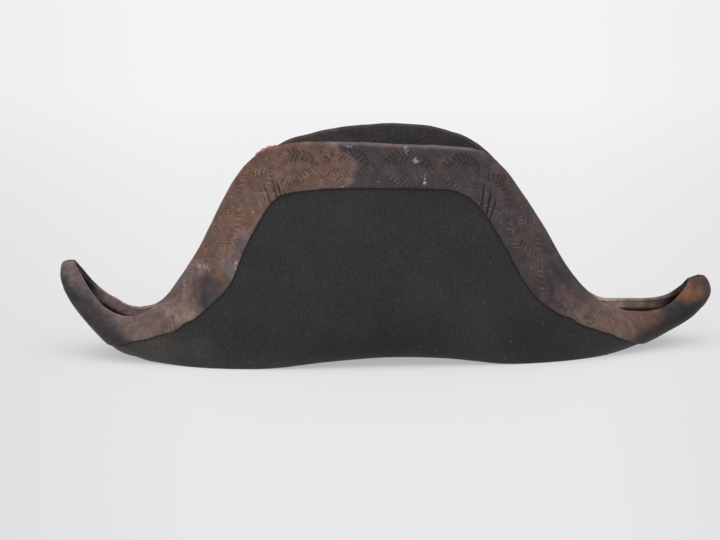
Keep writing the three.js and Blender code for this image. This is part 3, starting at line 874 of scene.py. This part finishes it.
def tide_distance(points):
    """How far places are from the nearest tide line, in millimetres."""
    warped = stain_warp(points)
    ways = [(patch_distance(warped, row, TIDE_COLUMNS) - 1) * min(row[2:]) for row in TIDES]
    return np.min(np.abs(ways), axis=0)


def chalk(points):
    return np.max([row[-1] * patch_glow(points, row, CHALK_COLUMNS) for row in CHALK], axis=0)


def leaf_sheen_tone(points, across):
    """How the woven leaves show on the ground, as painted sheen of the satin weave: below 0 darker, above 0
    with lighter outlines.
    """
    x = points[:, 0]
    low = smoothstep(np.abs(across), WREATH_MIDDLE - BRANCH_BLEND, WREATH_MIDDLE + BRANCH_BLEND)
    high_right = lerp(RIGHT_TONES[0], CORNER_TONE, smoothstep(x, *CORNER_STARTS))
    tone = LEAF_TONE + band(x, *MIDDLE_STRETCH) * lerp(*MIDDLE_TONES, low)
    tone += band(x, *RIGHT_STRETCH) * lerp(high_right, RIGHT_TONES[1], low)
    tone += band(x, *LEFT_STRETCH) * LEFT_TONE
    plain = lerp(1, PLAIN_POINTS, smoothstep(np.abs(x), *PLAIN_STARTS))
    plain = plain * (1 - STAIN_HIDES * patch_glow(points, LEAFLESS, TIDE_COLUMNS))
    return np.where(across < 0, INSIDE_TONE, tone) * plain


def painted_leaf_rim(tone):
    """Painted highlight and painted shade on the lines beside the leaves: lighter beside dark leaves, darker
    beside light ones.
    """
    return np.where(tone < 0, -RIM_LIGHT * tone, RIM_DARK)


def leaf_colour(points, tint, tone):
    """The colour of leaves that show lighter: like the ground over the middle, golden on the slopes."""
    x = points[:, 0]
    gold = np.maximum(1 - smoothstep(x, *GOLD_ENDS), RIGHT_GOLD * smoothstep(x, *RIGHT_GOLD_STARTS))
    lighter = tint * (1 + np.maximum(tone, 0))[:, None]
    golden = LEAF_GOLD * lerp(DULL_GOLD, 1, noise(points, 7, seed=48) > 0)[:, None]
    return lerp(lighter, golden, GOLD_STRENGTH * gold[:, None])


def rib_strength(points, across):
    middle = band(points[:, 0], *RIB_STRETCH)
    return lerp(LEAST_RIBS, 1, middle * smoothstep(across, *RIB_STARTS))


def painted_point_shade(points):
    """Painted shade on the points: above their shade lines, where they face up, they keep their colour, and
    below they are painted darker.
    """
    rows = np.array(SHADE_LINES)
    below = np.interp(points[:, 0], rows[:, 0], rows[:, 1]) - points[:, 2]
    dark = smoothstep(below + layered(points, SHADE_RAGGED), *SHADE_SOFT)
    return lerp(1, POINT_PAINTED_SHADE, dark[:, None])


def wear_and_painted_highlight(points, across):
    """The fold over the brim's edge is worn pale, and its lip has a painted highlight, most on the near
    flap's top.
    """
    x, away = points[:, 0], np.abs(across)
    near = points[:, 1] < 0
    lip = np.where(near, NEAR_LIP + TOP_LIP * band(x, *WORN_TOP), FAR_LIP)
    lip = lip * np.exp(-((away / LIP_WIDTH) ** 2))
    slope = band(x, *WORN_SLOPE) * (1 - smoothstep(away, *SLOPE_FADES))
    return 1 + lip + SLOPE_LIGHT * near * slope


def ribbon_tint(points, signed, light, inside, hidden, far_rim):
    """The ribbon's colour with its dirt, and with painted light and painted shade on it."""
    away = np.abs(points[:, 0])
    tint = ribbon_colour(points)
    open_air = lerp(LEAST_AIR, 1, smoothstep(away, *OPEN_AIR))
    tint[inside] = lerp(RIBBON_INSIDE, tint[inside], open_air[inside][:, None])
    far_side = (points[:, 1] > FAR_SIDE_Y) * (1 - smoothstep(away, *FAR_GREY_ENDS)) * ~inside
    tint = lerp(tint, RIBBON_GREY, FAR_GREY * far_side[:, None])
    # Painted light and painted shade inside the points: the open inner face is painted lighter, its deep
    # part and the hidden face painted dark
    at_end = far_rim * smoothstep(away, *TIP_ENDS)
    deep = np.maximum(smoothstep(-signed, *INSIDE_DARKENS), smoothstep(away, *TIP_DARKENS))
    deep = np.maximum(deep, hidden) * (1 - at_end)
    open_light = INSIDE_PAINTED_LIGHTS[(points[:, 0] > 0).astype(int)]
    in_shade = lerp(open_light, INSIDE_PAINTED_SHADE, deep[:, None])
    in_shade = lerp(1, in_shade, smoothstep(away, *AT_POINTS)[:, None])
    in_shade = lerp(in_shade, 1, at_end[:, None])
    shade = np.where(inside[:, None], in_shade, painted_point_shade(points))
    return tint * shade * (light * wear_and_painted_highlight(points, signed))[:, None]


# Materials

def node(tree, kind, inputs=(), **settings):
    made = tree.nodes.new(kind)
    for key, value in settings.items():
        setattr(made, key, value)
    for key, value in dict(inputs).items():
        value = getattr(value, "socket", value)
        if isinstance(value, bpy.types.NodeSocket):
            tree.links.new(value, made.inputs[key])
        else:
            made.inputs[key].default_value = value
    return made


class Value:
    """A number inside a material. Sums written with it become nodes."""

    def __init__(self, tree, socket):
        self.tree = tree
        self.socket = socket

    def calc(self, operation, *others):
        made = node(self.tree, "ShaderNodeMath", dict(enumerate((self, *others))), operation=operation)
        return Value(self.tree, made.outputs[0])

    def ranged(self, low, high, out_low, out_high, way="LINEAR"):
        inputs = {"Value": self, "From Min": low, "From Max": high, "To Min": out_low, "To Max": out_high}
        made = node(self.tree, "ShaderNodeMapRange", inputs, interpolation_type=way)
        return Value(self.tree, made.outputs[0])

    def __add__(self, other):
        return self.calc("ADD", other)

    def __sub__(self, other):
        return self.calc("SUBTRACT", other)

    def __rsub__(self, other):
        return self * -1.0 + other

    def __mul__(self, other):
        return self.calc("MULTIPLY", other)

    def __truediv__(self, other):
        return self.calc("DIVIDE", other)

    def __abs__(self):
        return self.calc("ABSOLUTE")


def new_material(name, finish):
    material = bpy.data.materials.new(name)
    material.use_nodes = True
    tree = material.node_tree
    shader = tree.nodes["Principled BSDF"]
    for label, value in finish.items():
        shader.inputs[label].default_value = value
    return material, tree, shader


def attribute(tree, name):
    return Value(tree, node(tree, "ShaderNodeAttribute", attribute_name=name).outputs["Fac"])


def colour_attribute(tree, name):
    return node(tree, "ShaderNodeAttribute", attribute_name=name).outputs["Color"]


def object_place(tree):
    return node(tree, "ShaderNodeTexCoord").outputs["Object"]


def grain(tree, place, scale, detail, roughness):
    inputs = {"Vector": place, "Scale": scale, "Detail": detail, "Roughness": roughness}
    return Value(tree, node(tree, "ShaderNodeTexNoise", inputs).outputs["Fac"])


def scaled(tree, colour, light):
    return node(tree, "ShaderNodeVectorMath", {0: colour, "Scale": light}, operation="SCALE").outputs[0]


def mixed(tree, share, colour, other):
    return node(tree, "ShaderNodeMix", {"Factor": share, 6: colour, 7: other}, data_type="RGBA").outputs[2]


def dress(tree, shader, colour, height, strength, depth):
    """Gives a shader its colour and its relief."""
    tree.links.new(colour, shader.inputs["Base Color"])
    bump = node(tree, "ShaderNodeBump", {"Height": height, "Strength": strength, "Distance": depth})
    tree.links.new(bump.outputs[0], shader.inputs["Normal"])


def filled(inside):
    """A mask with a soft edge from how far inside a figure a place is, in millimetres."""
    return inside.ranged(-WEAVE_SOFTNESS / 2, WEAVE_SOFTNESS / 2, 0.0, 1.0)


def leaf_masks(tree, along, across):
    """Where the wreaths' woven leaves, stems and berries are, and the thread lines beside the leaves."""
    cell = along / REPEAT
    number = cell.calc("FLOOR")
    turn = cell - number
    sine = (turn * math.pi).calc("SINE")
    slope = (turn * math.pi).calc("COSINE") * (WREATH_HALF * math.pi / REPEAT)
    stretch = (slope * slope + 1.0).calc("SQRT")
    height = abs(across) - WREATH_MIDDLE
    stem_length = REPEAT * STEM_STRETCH
    breadth = attribute(tree, "leaf").ranged(*TONE_TURNS, LEAF_WIDTH / 2, LIGHT_LEAF * LEAF_WIDTH / 2)
    shapes, rims = [], []
    for branch in (1, -1):
        away = (height - sine * (branch * WREATH_HALF)) / stretch
        run = abs(away)
        outer = (away * branch).calc("GREATER_THAN", 0.0)
        place = turn * stem_length + run * (1 / math.tan(LEAF_ANGLE)) - run * run * LEAF_BEND
        count = outer * 0.5 + place / LEAF_PITCH
        index = count.calc("FLOOR")
        base = (index + 0.5 - outer * 0.5) * (LEAF_PITCH / stem_length)
        key = node(tree, "ShaderNodeCombineXYZ", {0: index, 1: number, 2: outer + 2.0 * (branch + 1)})
        drawn = node(tree, "ShaderNodeTexWhiteNoise", {"Vector": key.outputs[0]})
        chance = Value(tree, drawn.outputs["Value"])
        grown = (base * math.pi).calc("SINE") * (1 - LEAST_LEAF) + LEAST_LEAF
        length = grown * chance.ranged(0, 1, *(share * LEAF_LENGTH for share in LEAF_LENGTHS))
        aside = (count - index - 0.5) * (LEAF_PITCH * math.sin(LEAF_ANGLE))
        aside = aside + chance.ranged(0, 1, -LEAF_TURN, LEAF_TURN) * run
        share = run / (length * math.sin(LEAF_ANGLE))
        rest = (1.0 - share).calc("MAXIMUM", 0.0)
        width = (share * rest * 4.0).calc("POWER", LEAF_POWER) * breadth
        shown = chance.calc("GREATER_THAN", LEAF_MISSING) * share.calc("LESS_THAN", 1.0)
        shown = shown * base.calc("GREATER_THAN", LEAFY_STEM[0]) * base.calc("LESS_THAN", LEAFY_STEM[1])
        past = aside - width - LEAF_RIM / 2
        shapes += [filled(width - abs(aside)) * shown, filled(STEM_WIDTH / 2 - run)]
        rims.append(filled(LEAF_RIM / 2 - abs(past)) * shown)
    beside = (cell.calc("ROUND") - cell) * REPEAT
    above = abs(height) - BERRY_AWAY
    leaves = filled(BERRY_RADIUS - (beside * beside + above * above).calc("SQRT"))
    for shape in shapes:
        leaves = leaves.calc("MAXIMUM", shape)
    return leaves, rims[0].calc("MAXIMUM", rims[1])


def felt_material():
    material, tree, shader = new_material("felt", FELT_FINISH)
    place = object_place(tree)
    nap = node(tree, "ShaderNodeMapping", {"Vector": place, "Scale": NAP_STRETCH, "Rotation": NAP_TURN})
    fibres = grain(tree, nap.outputs[0], *FELT_FIBRES)
    clouds = grain(tree, place, *FELT_CLOUDS)
    light = fibres.ranged(*FIBRE_LIGHT) * clouds.ranged(*CLOUD_LIGHT)
    dress(tree, shader, scaled(tree, colour_attribute(tree, "tint"), light), fibres, *FELT_RELIEF)
    return material


def ribbon_material():
    material, tree, shader = new_material("ribbon", RIBBON_FINISH)
    leaves, rims = leaf_masks(tree, attribute(tree, "leaf_along"), attribute(tree, "leaf_across"))
    place = object_place(tree)
    threads = grain(tree, place, *RIBBON_THREADS)
    wear = grain(tree, place, *RIBBON_WEAR)
    powder = grain(tree, place, *RIBBON_POWDER)
    tone = attribute(tree, "leaf")
    ribs = (attribute(tree, "across") * (2 * math.pi / RIB_PITCH)).calc("SINE") * attribute(tree, "ribs")
    light = (ribs * RIB_LIGHT + 1.0) * threads.ranged(*THREAD_LIGHT) * wear.ranged(*WEAR_LIGHT)
    # Painted sheen of the satin weave: leaves with a tone below 0 darker, those above 0 lighter, and the
    # lines beside them painted lighter or darker
    light = light * (leaves * tone.calc("MINIMUM", 0.0) + 1.0) * (rims * attribute(tree, "painted_leaf_rim") + 1.0)
    lighter = leaves * wear.ranged(*LEAF_BREAKS) * tone.ranged(*LEAF_SHOWS)
    leafy = mixed(tree, lighter, colour_attribute(tree, "tint"), colour_attribute(tree, "leaf_tint"))
    ragged = attribute(tree, "tide").ranged(*TIDE_SHOWS) * powder.ranged(*POWDER_BREAKS)
    spots = (attribute(tree, "chalk") * CHALK_DUST + powder).ranged(*CHALK_SHOWS)
    chalky = (ragged + spots).calc("MINIMUM", 1.0)
    colour = mixed(tree, chalky, scaled(tree, leafy, light), (*RIBBON_CHALK, 1))
    dress(tree, shader, colour, leaves * LEAF_HEIGHT + ribs + threads * THREAD_HEIGHT, *RIBBON_RELIEF)
    return material


def thread_material(name, colour):
    material, tree, shader = new_material(name, THREAD_FINISH)
    shader.inputs["Base Color"].default_value = (*colour, 1)
    return material


def cockade_material():
    material, tree, shader = new_material("cockade", COCKADE_FINISH)
    threads = grain(tree, object_place(tree), *COCKADE_THREADS)
    red = mixed(tree, threads.ranged(*COCKADE_MIX), *COCKADE_COLOURS)
    dress(tree, shader, scaled(tree, red, attribute(tree, "light")), threads, *COCKADE_RELIEF)
    return material


def floor_material():
    material, tree, shader = new_material("floor", FLOOR_FINISH)
    place = node(tree, "ShaderNodeSeparateXYZ", {"Vector": object_place(tree)})
    aside, back = (Value(tree, place.outputs[axis]) for axis in ("X", "Y"))
    grey = mixed(tree, back.ranged(*FLOOR_CHANGES, 0.0, 1.0, "SMOOTHSTEP"), FLOOR_NEAR, FLOOR_FAR)
    spread = abs(aside) / (back - POOL_START)
    # a painted pool of light, darker to the sides
    pool = spread.ranged(*POOL_EDGES, 1.0, back.ranged(*POOL_FADES, 1.0, POOL_DARKENING))
    lit = scaled(tree, grey, pool)
    tree.links.new(lit, shader.inputs["Base Color"])
    # the floor glows with this painted grey, which keeps the shadows on it pale
    tree.links.new(lit, shader.inputs["Emission Color"])
    return material


# The felt body

def felt_body():
    lines = lines_round(LINE_STEP)
    grid = np.concatenate([
        crown_grid(lines, CROWN_ROWS),
        brim_grid(lines, BRIM_ROWS),
        ribbon_grid(lines, FELT_RIBBON_ROWS),
    ], axis=1)
    count, rows = grid.shape[:2]
    normals = grid_normals(grid)
    grid = grid + normals * swell(grid)[..., None]
    walls = []
    for side in (1, -1):
        wall = grid + normals * (side * FELT / 2)
        dents = DENT_HEIGHT * noise(wall, DENT_SIZE, seed=2 + side) * smoothstep(wall[..., 2], *DENT_STARTS)
        walls.append((wall + normals * dents[..., None]).reshape(-1, 3))
    points = np.concatenate(walls + [[[0, 0, CROWN_TOP - FELT / 2], [0, 0, CROWN_TOP + FELT / 2]]])
    points = round_ends(points)
    points[:, 2] = np.maximum(points[:, 2], 0)
    over = count * rows
    here, there = ring_starts(count, rows)
    last, after = here + rows - 1, there + rows - 1
    faces = [*ring_faces(count, rows), *ring_faces(count, rows, start=over)[:, ::-1]]
    faces += [*np.stack([last, after, after + over, last + over], axis=1)]
    faces += fan(there, here, 2 * over) + fan(here + over, there + over, 2 * over + 1)
    dusty = 1 - smoothstep(patch_distance(points, DUST, TIDE_COLUMNS), *DUST_FADES)
    dusty = np.clip(dusty * (DUST_STRENGTH + layered(points, DUST_MOTTLE)), 0, 1)
    shade = 1 + layered(points, FELT_MOTTLE)
    # painted light and painted shade on the felt, added to its mottle
    for row in FELT_PAINTED_SHADES:
        shade += row[-1] * patch_glow(points, row, FELT_PAINTED_SHADE_COLUMNS)
    tint = lerp(FELT_BLACK, FELT_DUSTY, dusty[:, None]) * shade[:, None]
    return make_mesh("felt_shell", points, faces, felt_material(), [("tint", tint)]), (grid, normals)


# The ribbon

def edge_loop(lines):
    """The brim's edge as a closed line, with the length along it at each of its points."""
    edge = brim_point(lines["edge"][:, 0], lines["edge"][:, 1])
    steps = np.linalg.norm(np.roll(edge, -1, axis=0) - edge, axis=1)
    return edge, np.concatenate([[0], np.cumsum(steps)[:-1]]), steps.sum()


def along_and_across(points, edge, length, total):
    """For places on the brim: the length along its edge to the nearest place on it, and the way there."""
    tree = KDTree(len(edge))
    for i, point in enumerate(edge):
        tree.insert(point, i)
    tree.balance()
    flat = points.reshape(-1, 3)
    found = np.array([tree.find(p)[1] for p in flat])
    best_along = np.zeros(len(flat))
    best_across = np.full(len(flat), np.inf)
    for step in (-1, 1):
        other = (found + step) % len(edge)
        span = edge[other] - edge[found]
        square = np.maximum(np.sum(span * span, axis=1), 1e-9)
        share = np.clip(np.sum((flat - edge[found]) * span, axis=1) / square, 0, 1)
        away = np.linalg.norm(flat - edge[found] - span * share[:, None], axis=1)
        gap = (length[other] - length[found] + total / 2) % total - total / 2
        closer = away < best_across
        best_across = np.where(closer, away, best_across)
        best_along = np.where(closer, (length[found] + gap * share) % total, best_along)
    return best_along.reshape(points.shape[:-1]), best_across.reshape(points.shape[:-1])


def tuck_folds(points):
    """Height of the tucks over the ribbon's outer face, with painted shade in their folds and a painted
    highlight on their ridges.
    """
    height = np.zeros(points.shape[:-1])
    light = np.ones(points.shape[:-1])
    drop = np.where(points[..., 1] > 0, FAR_TUCK_DROP, 0)
    for row in TUCKS:
        tuck = dict(zip(TUCK_COLUMNS, row))
        way = np.array((tuck["low_x"] - tuck["x"], tuck["low_z"] - tuck["z"]))
        reach = np.linalg.norm(way)
        way = way / reach
        x, z = points[..., 0] - tuck["x"], points[..., 2] + drop - tuck["z"]
        run = (x * way[0] + z * way[1]) / reach
        aside = np.abs(x * way[1] - z * way[0])
        fade = band(run, *TUCK_STRETCH)
        valley = fade * np.exp(-((aside / TUCK_VALLEY) ** 2))
        ridge = fade * np.exp(-(((aside - TUCK_RIDGE[0]) / TUCK_RIDGE[1]) ** 2))
        height += tuck["depth"] * (RIDGE_HEIGHT * ridge - VALLEY_DEPTH * valley)
        light *= (1 - VALLEY_SHADE * valley) * (1 + RIDGE_LIGHT * ridge)
    return height, light


def edge_ribbon():
    dense = [(*place, TUCK_STEP) for place in TUCK_PLACES]
    lines = lines_round(RIBBON_STEP, dense)
    grid = ribbon_grid(lines, RIBBON_ROWS)
    edge, length, total = edge_loop(lines)
    along, across = along_and_across(grid, edge, length, total)
    normals = grid_normals(grid)
    grid = grid + normals * swell(grid)[..., None]
    share = np.linspace(0, 1, RIBBON_ROWS + 1)[None]
    inner = FELT / 2 + CLEARANCE
    outer = inner + RIBBON
    puff = RIBBON_PUFF * np.sin(math.pi * share**PUFF_POWER)
    pucker = PUCKER_HEIGHT * noise(grid, PUCKER_SIZE, seed=12) * np.sin(lerp(*PUCKER_ARC, share))
    tucks, tuck_painted_light = tuck_folds(grid)
    lift = {1: np.maximum(outer + puff + pucker + tucks, inner + LEAST_CLOTH), -1: outer + puff - pucker}
    end, end_normals = grid[:, -1], normals[:, -1]
    out = unit(end - grid[:, -2])
    lumps = out * layered(end, EDGE_LUMPS)[:, None]
    raised = lumps[:, None] * (share**LUMP_POWER)[..., None]
    faces_of = {side: grid + normals * (side * lift[side])[..., None] + raised for side in (1, -1)}
    rolled = []
    for turn in np.linspace(math.pi / 2, -math.pi / 2, ROLL_ROWS + 2)[1:-1]:
        round_edge = out * (ROLL_DEPTH * outer * math.cos(turn)) + end_normals * (outer * math.sin(turn))
        rolled.append(end + lumps + round_edge)
    hidden = np.linspace(0, RIBBON_ROWS, HIDDEN_ROWS + 1).round().astype(int)
    hidden_faces = {side: grid[:, hidden] + normals[:, hidden] * (side * inner) for side in (1, -1)}
    rings = np.concatenate([
        faces_of[1],
        np.stack(rolled, axis=1),
        faces_of[-1][:, ::-1],
        hidden_faces[-1],
        (end + out * CLEARANCE)[:, None],
        hidden_faces[1][:, ::-1],
    ], axis=1)
    count, rows = rings.shape[:2]
    behind = rows - 2 * (RIBBON_ROWS + 1) - ROLL_ROWS
    on_edge, at_back = np.zeros((count, ROLL_ROWS)), np.zeros((count, behind))
    signed = np.concatenate([across, on_edge, -across[:, ::-1], at_back], axis=1).ravel()
    ends = along[:, -1:]
    along = np.concatenate([along, ends + on_edge, along[:, ::-1], ends + at_back], axis=1).ravel()
    light = np.concatenate([tuck_painted_light, np.ones((count, rows - RIBBON_ROWS - 1))], axis=1).ravel()
    points = round_ends(rings.reshape(-1, 3))
    points[:, 2] = np.maximum(points[:, 2], 0)
    on_near = (edge[:, 1] < 0) & (edge[:, 2] > FLAP_TOPS)
    start = length[np.argmin(np.where(on_near, np.abs(edge[:, 0] - REPEAT_START_X), np.inf))]
    row = np.tile(np.arange(rows), count)
    hidden_row = row >= rows - behind
    on_roll = (row > RIBBON_ROWS) & (row <= RIBBON_ROWS + ROLL_ROWS)
    # The far fold at the points takes the inner face's painted light
    far_rim = on_roll & np.repeat(end_normals[:, 1] > 0, rows) & (np.abs(points[:, 0]) > FAR_RIM_STARTS)
    inside = (signed < 0) | far_rim | hidden_row
    tint = ribbon_tint(points, signed, light, inside, hidden_row, far_rim)
    tone = leaf_sheen_tone(points, signed)
    attributes = [
        ("tint", tint),
        ("across", signed),
        ("leaf_across", signed + layered(points, LEAF_STRAYS_ACROSS)),
        ("leaf_along", along - start + layered(points, LEAF_STRAYS_ALONG)),
        ("leaf", tone),
        ("painted_leaf_rim", painted_leaf_rim(tone)),
        ("leaf_tint", leaf_colour(points, tint, tone)),
        ("ribs", rib_strength(points, signed)),
        ("tide", np.where(inside, NO_TIDE, tide_distance(points))),
        ("chalk", np.where(inside, 0, chalk(points))),
    ]
    faces = ring_faces(count, rows, closed=True)
    piece = make_mesh("ribbon_fold", points, faces, ribbon_material(), attributes)
    inwards = unit(grid[:, 0] - grid[:, 1])
    seam = {"edge": faces_of[1][:, 0], "in": inwards, "out": normals[:, 0], "felt": grid[:, 0]}
    return piece, seam, total


# Threads

def tubes(paths, radius, sides=4):
    """Closed thin tubes along short lines of points that all have the same number of points."""
    paths = np.asarray(paths, float)
    count, steps = paths.shape[:2]
    along = unit(np.gradient(paths, axis=1))
    aside = unit(np.cross(along, (0.31, 0.52, 0.79)))
    over = np.cross(aside, along)
    turn = np.linspace(0, 2 * math.pi, sides, endpoint=False)
    thick = np.broadcast_to(np.asarray(radius, float).reshape(-1, 1, 1, 1), (count, 1, 1, 1))
    rings = np.cos(turn)[:, None] * aside[:, :, None] + np.sin(turn)[:, None] * over[:, :, None]
    points = (paths[:, :, None] + thick * rings).reshape(-1, 3)
    faces = []
    for i in range(count):
        first = i * steps * sides
        for k, j in itertools.product(range(steps - 1), range(sides)):
            low, after = first + k * sides, (j + 1) % sides
            faces.append((low + j, low + after, low + sides + after, low + sides + j))
        faces.append(tuple(first + j for j in reversed(range(sides))))
        faces.append(tuple(first + (steps - 1) * sides + j for j in range(sides)))
    return points, faces


def stitches(seam):
    """Small stitches that hold the ribbon's inner edge to the felt, on the outer faces of the flaps."""
    walked = np.cumsum(np.linalg.norm(np.diff(seam["edge"], axis=0), axis=1))
    places = np.arange(2, walked[-1], STITCH_PITCH)
    places = places + RANDOM.uniform(-STITCH_SHIFT, STITCH_SHIFT, len(places))
    chosen = np.clip(np.searchsorted(walked, places), 1, len(walked) - 1)
    paths = []
    for i in chosen:
        edge, way, out, felt = (seam[key][i] for key in ("edge", "in", "out", "felt"))
        skew = STITCH_SKEW * unit(seam["edge"][i + 1] - seam["edge"][i - 1])
        knots = [(edge, row) for row in STITCH_PATH] + [(felt, STITCH_END)]
        paths.append([place + way * inwards + out * outwards + skew * along
                      for place, (inwards, outwards, along) in knots])
    points, faces = tubes(paths, STITCH_RADIUS)
    return make_mesh("ribbon_stitches", points, faces, thread_material("stitch", STITCH_COLOUR))


def lint(surface):
    """Light fibres and specks that cling to the felt."""
    grid, normals = surface
    count, rows = grid.shape[:2]
    paths, radii = [], []
    for _ in range(LINT_COUNT):
        i = RANDOM.integers(0, count)
        k = RANDOM.integers(CROWN_ROWS + LINT_AWAY, rows - FELT_RIBBON_ROWS - 1)
        along = unit(grid[(i + 1) % count, k] - grid[i, k])
        up = unit(grid[i, k + 1] - grid[i, k])
        angle, bend = RANDOM.uniform(0, 2 * math.pi), RANDOM.normal(0, LINT_BEND)
        length = LINT_LENGTHS[0] + RANDOM.exponential(LINT_LENGTHS[1])
        place = lerp(grid[i, k], grid[i, k + 1], RANDOM.uniform()) + normals[i, k] * (FELT / 2 + LINT_LIFT)
        path = []
        for step in range(4):
            path.append(place)
            place = place + length / 3 * (along * math.cos(angle) + up * math.sin(angle))
            angle += bend
        paths.append(path)
        radii.append(RANDOM.uniform(*LINT_RADII) + LINT_SPECK / length)
    points, faces = tubes(paths, radii, sides=3)
    points[:, 2] = np.maximum(points[:, 2], LINT_FLOOR)
    return make_mesh("felt_lint", points, faces, thread_material("lint", LINT_COLOUR))


# The cockade

def cockade():
    """A round rosette of pleated ribbon, sewn flat on the outer face of the far flap."""
    station = station_of_x(np.array(COCKADE_X))
    across = bisect(FLAP_STARTS, 1, lambda a: brim_point(station, a)[..., 2] > COCKADE_Z)
    centre = brim_point(station, across)
    step = 0.05
    along = unit(brim_point(station + step, across) - brim_point(station - step, across))
    up = brim_point(station, across + step) - brim_point(station, across - step)
    facing = unit(np.cross(up, along))
    up = np.cross(along, facing)
    turn = np.linspace(0, 2 * math.pi, COCKADE_PLEATS * LINES_PER_PLEAT, endpoint=False)
    shares = np.concatenate([PLEAT_STARTS[:1], np.linspace(FIRST_ROW, 1, COCKADE_ROWS)])
    share, angle = np.meshgrid(shares, turn)
    pleat = np.tile(np.arange(LINES_PER_PLEAT) / (LINES_PER_PLEAT - 1), COCKADE_PLEATS)[:, None]
    bulge = np.sin(pleat * PLEAT_ARC)
    around, outwards = WAVE_REACH
    places = np.stack([around * np.cos(angle), around * np.sin(angle), outwards * share], axis=-1)
    wave = COCKADE_WAVE * noise(places, WAVE_SIZE, seed=51)
    height = COCKADE_THICKNESS + COCKADE_DOME * (1 - share**2) + wave * share
    height = height + PLEAT_HEIGHT * bulge * smoothstep(share, *PLEAT_STARTS)
    height = height - COCKADE_DIMPLE * np.exp(-((share / DIMPLE_SHARE) ** 2))
    radius = COCKADE_RADIUS * share * (1 - PLEAT_NOTCH * (1 - bulge) * share)
    rim = COCKADE_BACK * COCKADE_RADIUS * np.stack([np.cos(turn), np.sin(turn), 0 * turn], axis=-1)
    front = np.stack([radius * np.cos(angle), radius * np.sin(angle), height], axis=-1)
    rings = np.concatenate([front, rim[:, None], HOLE_SHARE * rim[:, None]], axis=1)
    count, rows = rings.shape[:2]
    local = np.concatenate([rings.reshape(-1, 3), [[0, 0, front[:, 0, 2].mean()], [0, 0, 0]]])
    placed = centre + facing * COCKADE_LIFT
    points = placed + local[:, :1] * along + local[:, 1:2] * up + local[:, 2:] * facing
    here, there = ring_starts(count, rows)
    top, bottom = count * rows, count * rows + 1
    faces = [*ring_faces(count, rows)]
    faces += fan(there, here, top) + fan(here + rows - 1, there + rows - 1, bottom)
    # painted shade in the pleats' valleys, lighter on their crests
    light = np.repeat(PAINTED_VALLEY_LIGHT + PAINTED_PLEAT_LIGHT * bulge, rows, axis=1).reshape(-1)
    light = np.append(light, [PAINTED_MIDDLE_LIGHT, PAINTED_MIDDLE_LIGHT])
    return make_mesh("cockade_rosette", points, faces, cockade_material(), [("light", light)])


def floor_plane():
    size = FLOOR_HALF / MM
    points = [(-size, -size, 0), (size, -size, 0), (size, size, 0), (-size, size, 0)]
    floor = make_mesh("floor", points, [(0, 1, 2, 3)], floor_material())
    return floor


def camera():
    data = bpy.data.cameras.new("camera")
    data.lens = CAMERA_LENS
    data.sensor_width = SENSOR_WIDTH
    data.clip_end = CLIP_END
    made = bpy.data.objects.new("camera", data)
    x, y, z = CAMERA_TARGET
    back = CAMERA_DISTANCE * math.cos(CAMERA_ELEVATION)
    up = CAMERA_DISTANCE * math.sin(CAMERA_ELEVATION)
    made.location = ((x - LENGTH_MIDDLE) * MM, (y - back) * MM, (z + up) * MM)
    made.rotation_euler = (math.pi / 2 - CAMERA_ELEVATION, 0, 0)
    bpy.context.scene.collection.objects.link(made)
    bpy.context.scene.camera = made


def lights():
    """One wide soft light above the camera's side, over an even fill."""
    world = bpy.data.worlds.new("studio")
    world.use_nodes = True
    tree = world.node_tree
    way = node(tree, "ShaderNodeTexCoord").outputs["Generated"]
    towards = node(tree, "ShaderNodeVectorMath", {0: way, 1: LIGHT_WAY}, operation="DOT_PRODUCT")
    facing = Value(tree, towards.outputs["Value"]).calc("MAXIMUM", 0.0)
    light = facing.calc("POWER", LIGHT_POWER) * MAIN_LIGHT + FILL_LIGHT
    tree.links.new(light.socket, tree.nodes["Background"].inputs["Strength"])
    tree.nodes["Background"].inputs["Color"].default_value = (1, 1, 1, 1)
    bpy.context.scene.world = world
    bpy.context.scene.view_settings.view_transform = "Standard"


camera()
lights()
floor_plane()
felt, felt_surface = felt_body()
ribbon, seam, ribbon_length = edge_ribbon()
stitch_row = stitches(seam)
lint_bits = lint(felt_surface)
rosette = cockade()
slots = (
    (felt, "felt"),
    (ribbon, "ribbon"),
    (stitch_row, "ribbon"),
    (lint_bits, "felt"),
    (rosette, "cockade"),
)
for piece, slot in slots:
    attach(piece, "root")
for piece, solid in ((felt, "felt_body"), (ribbon, "edge_ribbon"), (rosette, "cockade")):
    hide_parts(solid)
ribbon_length * MM
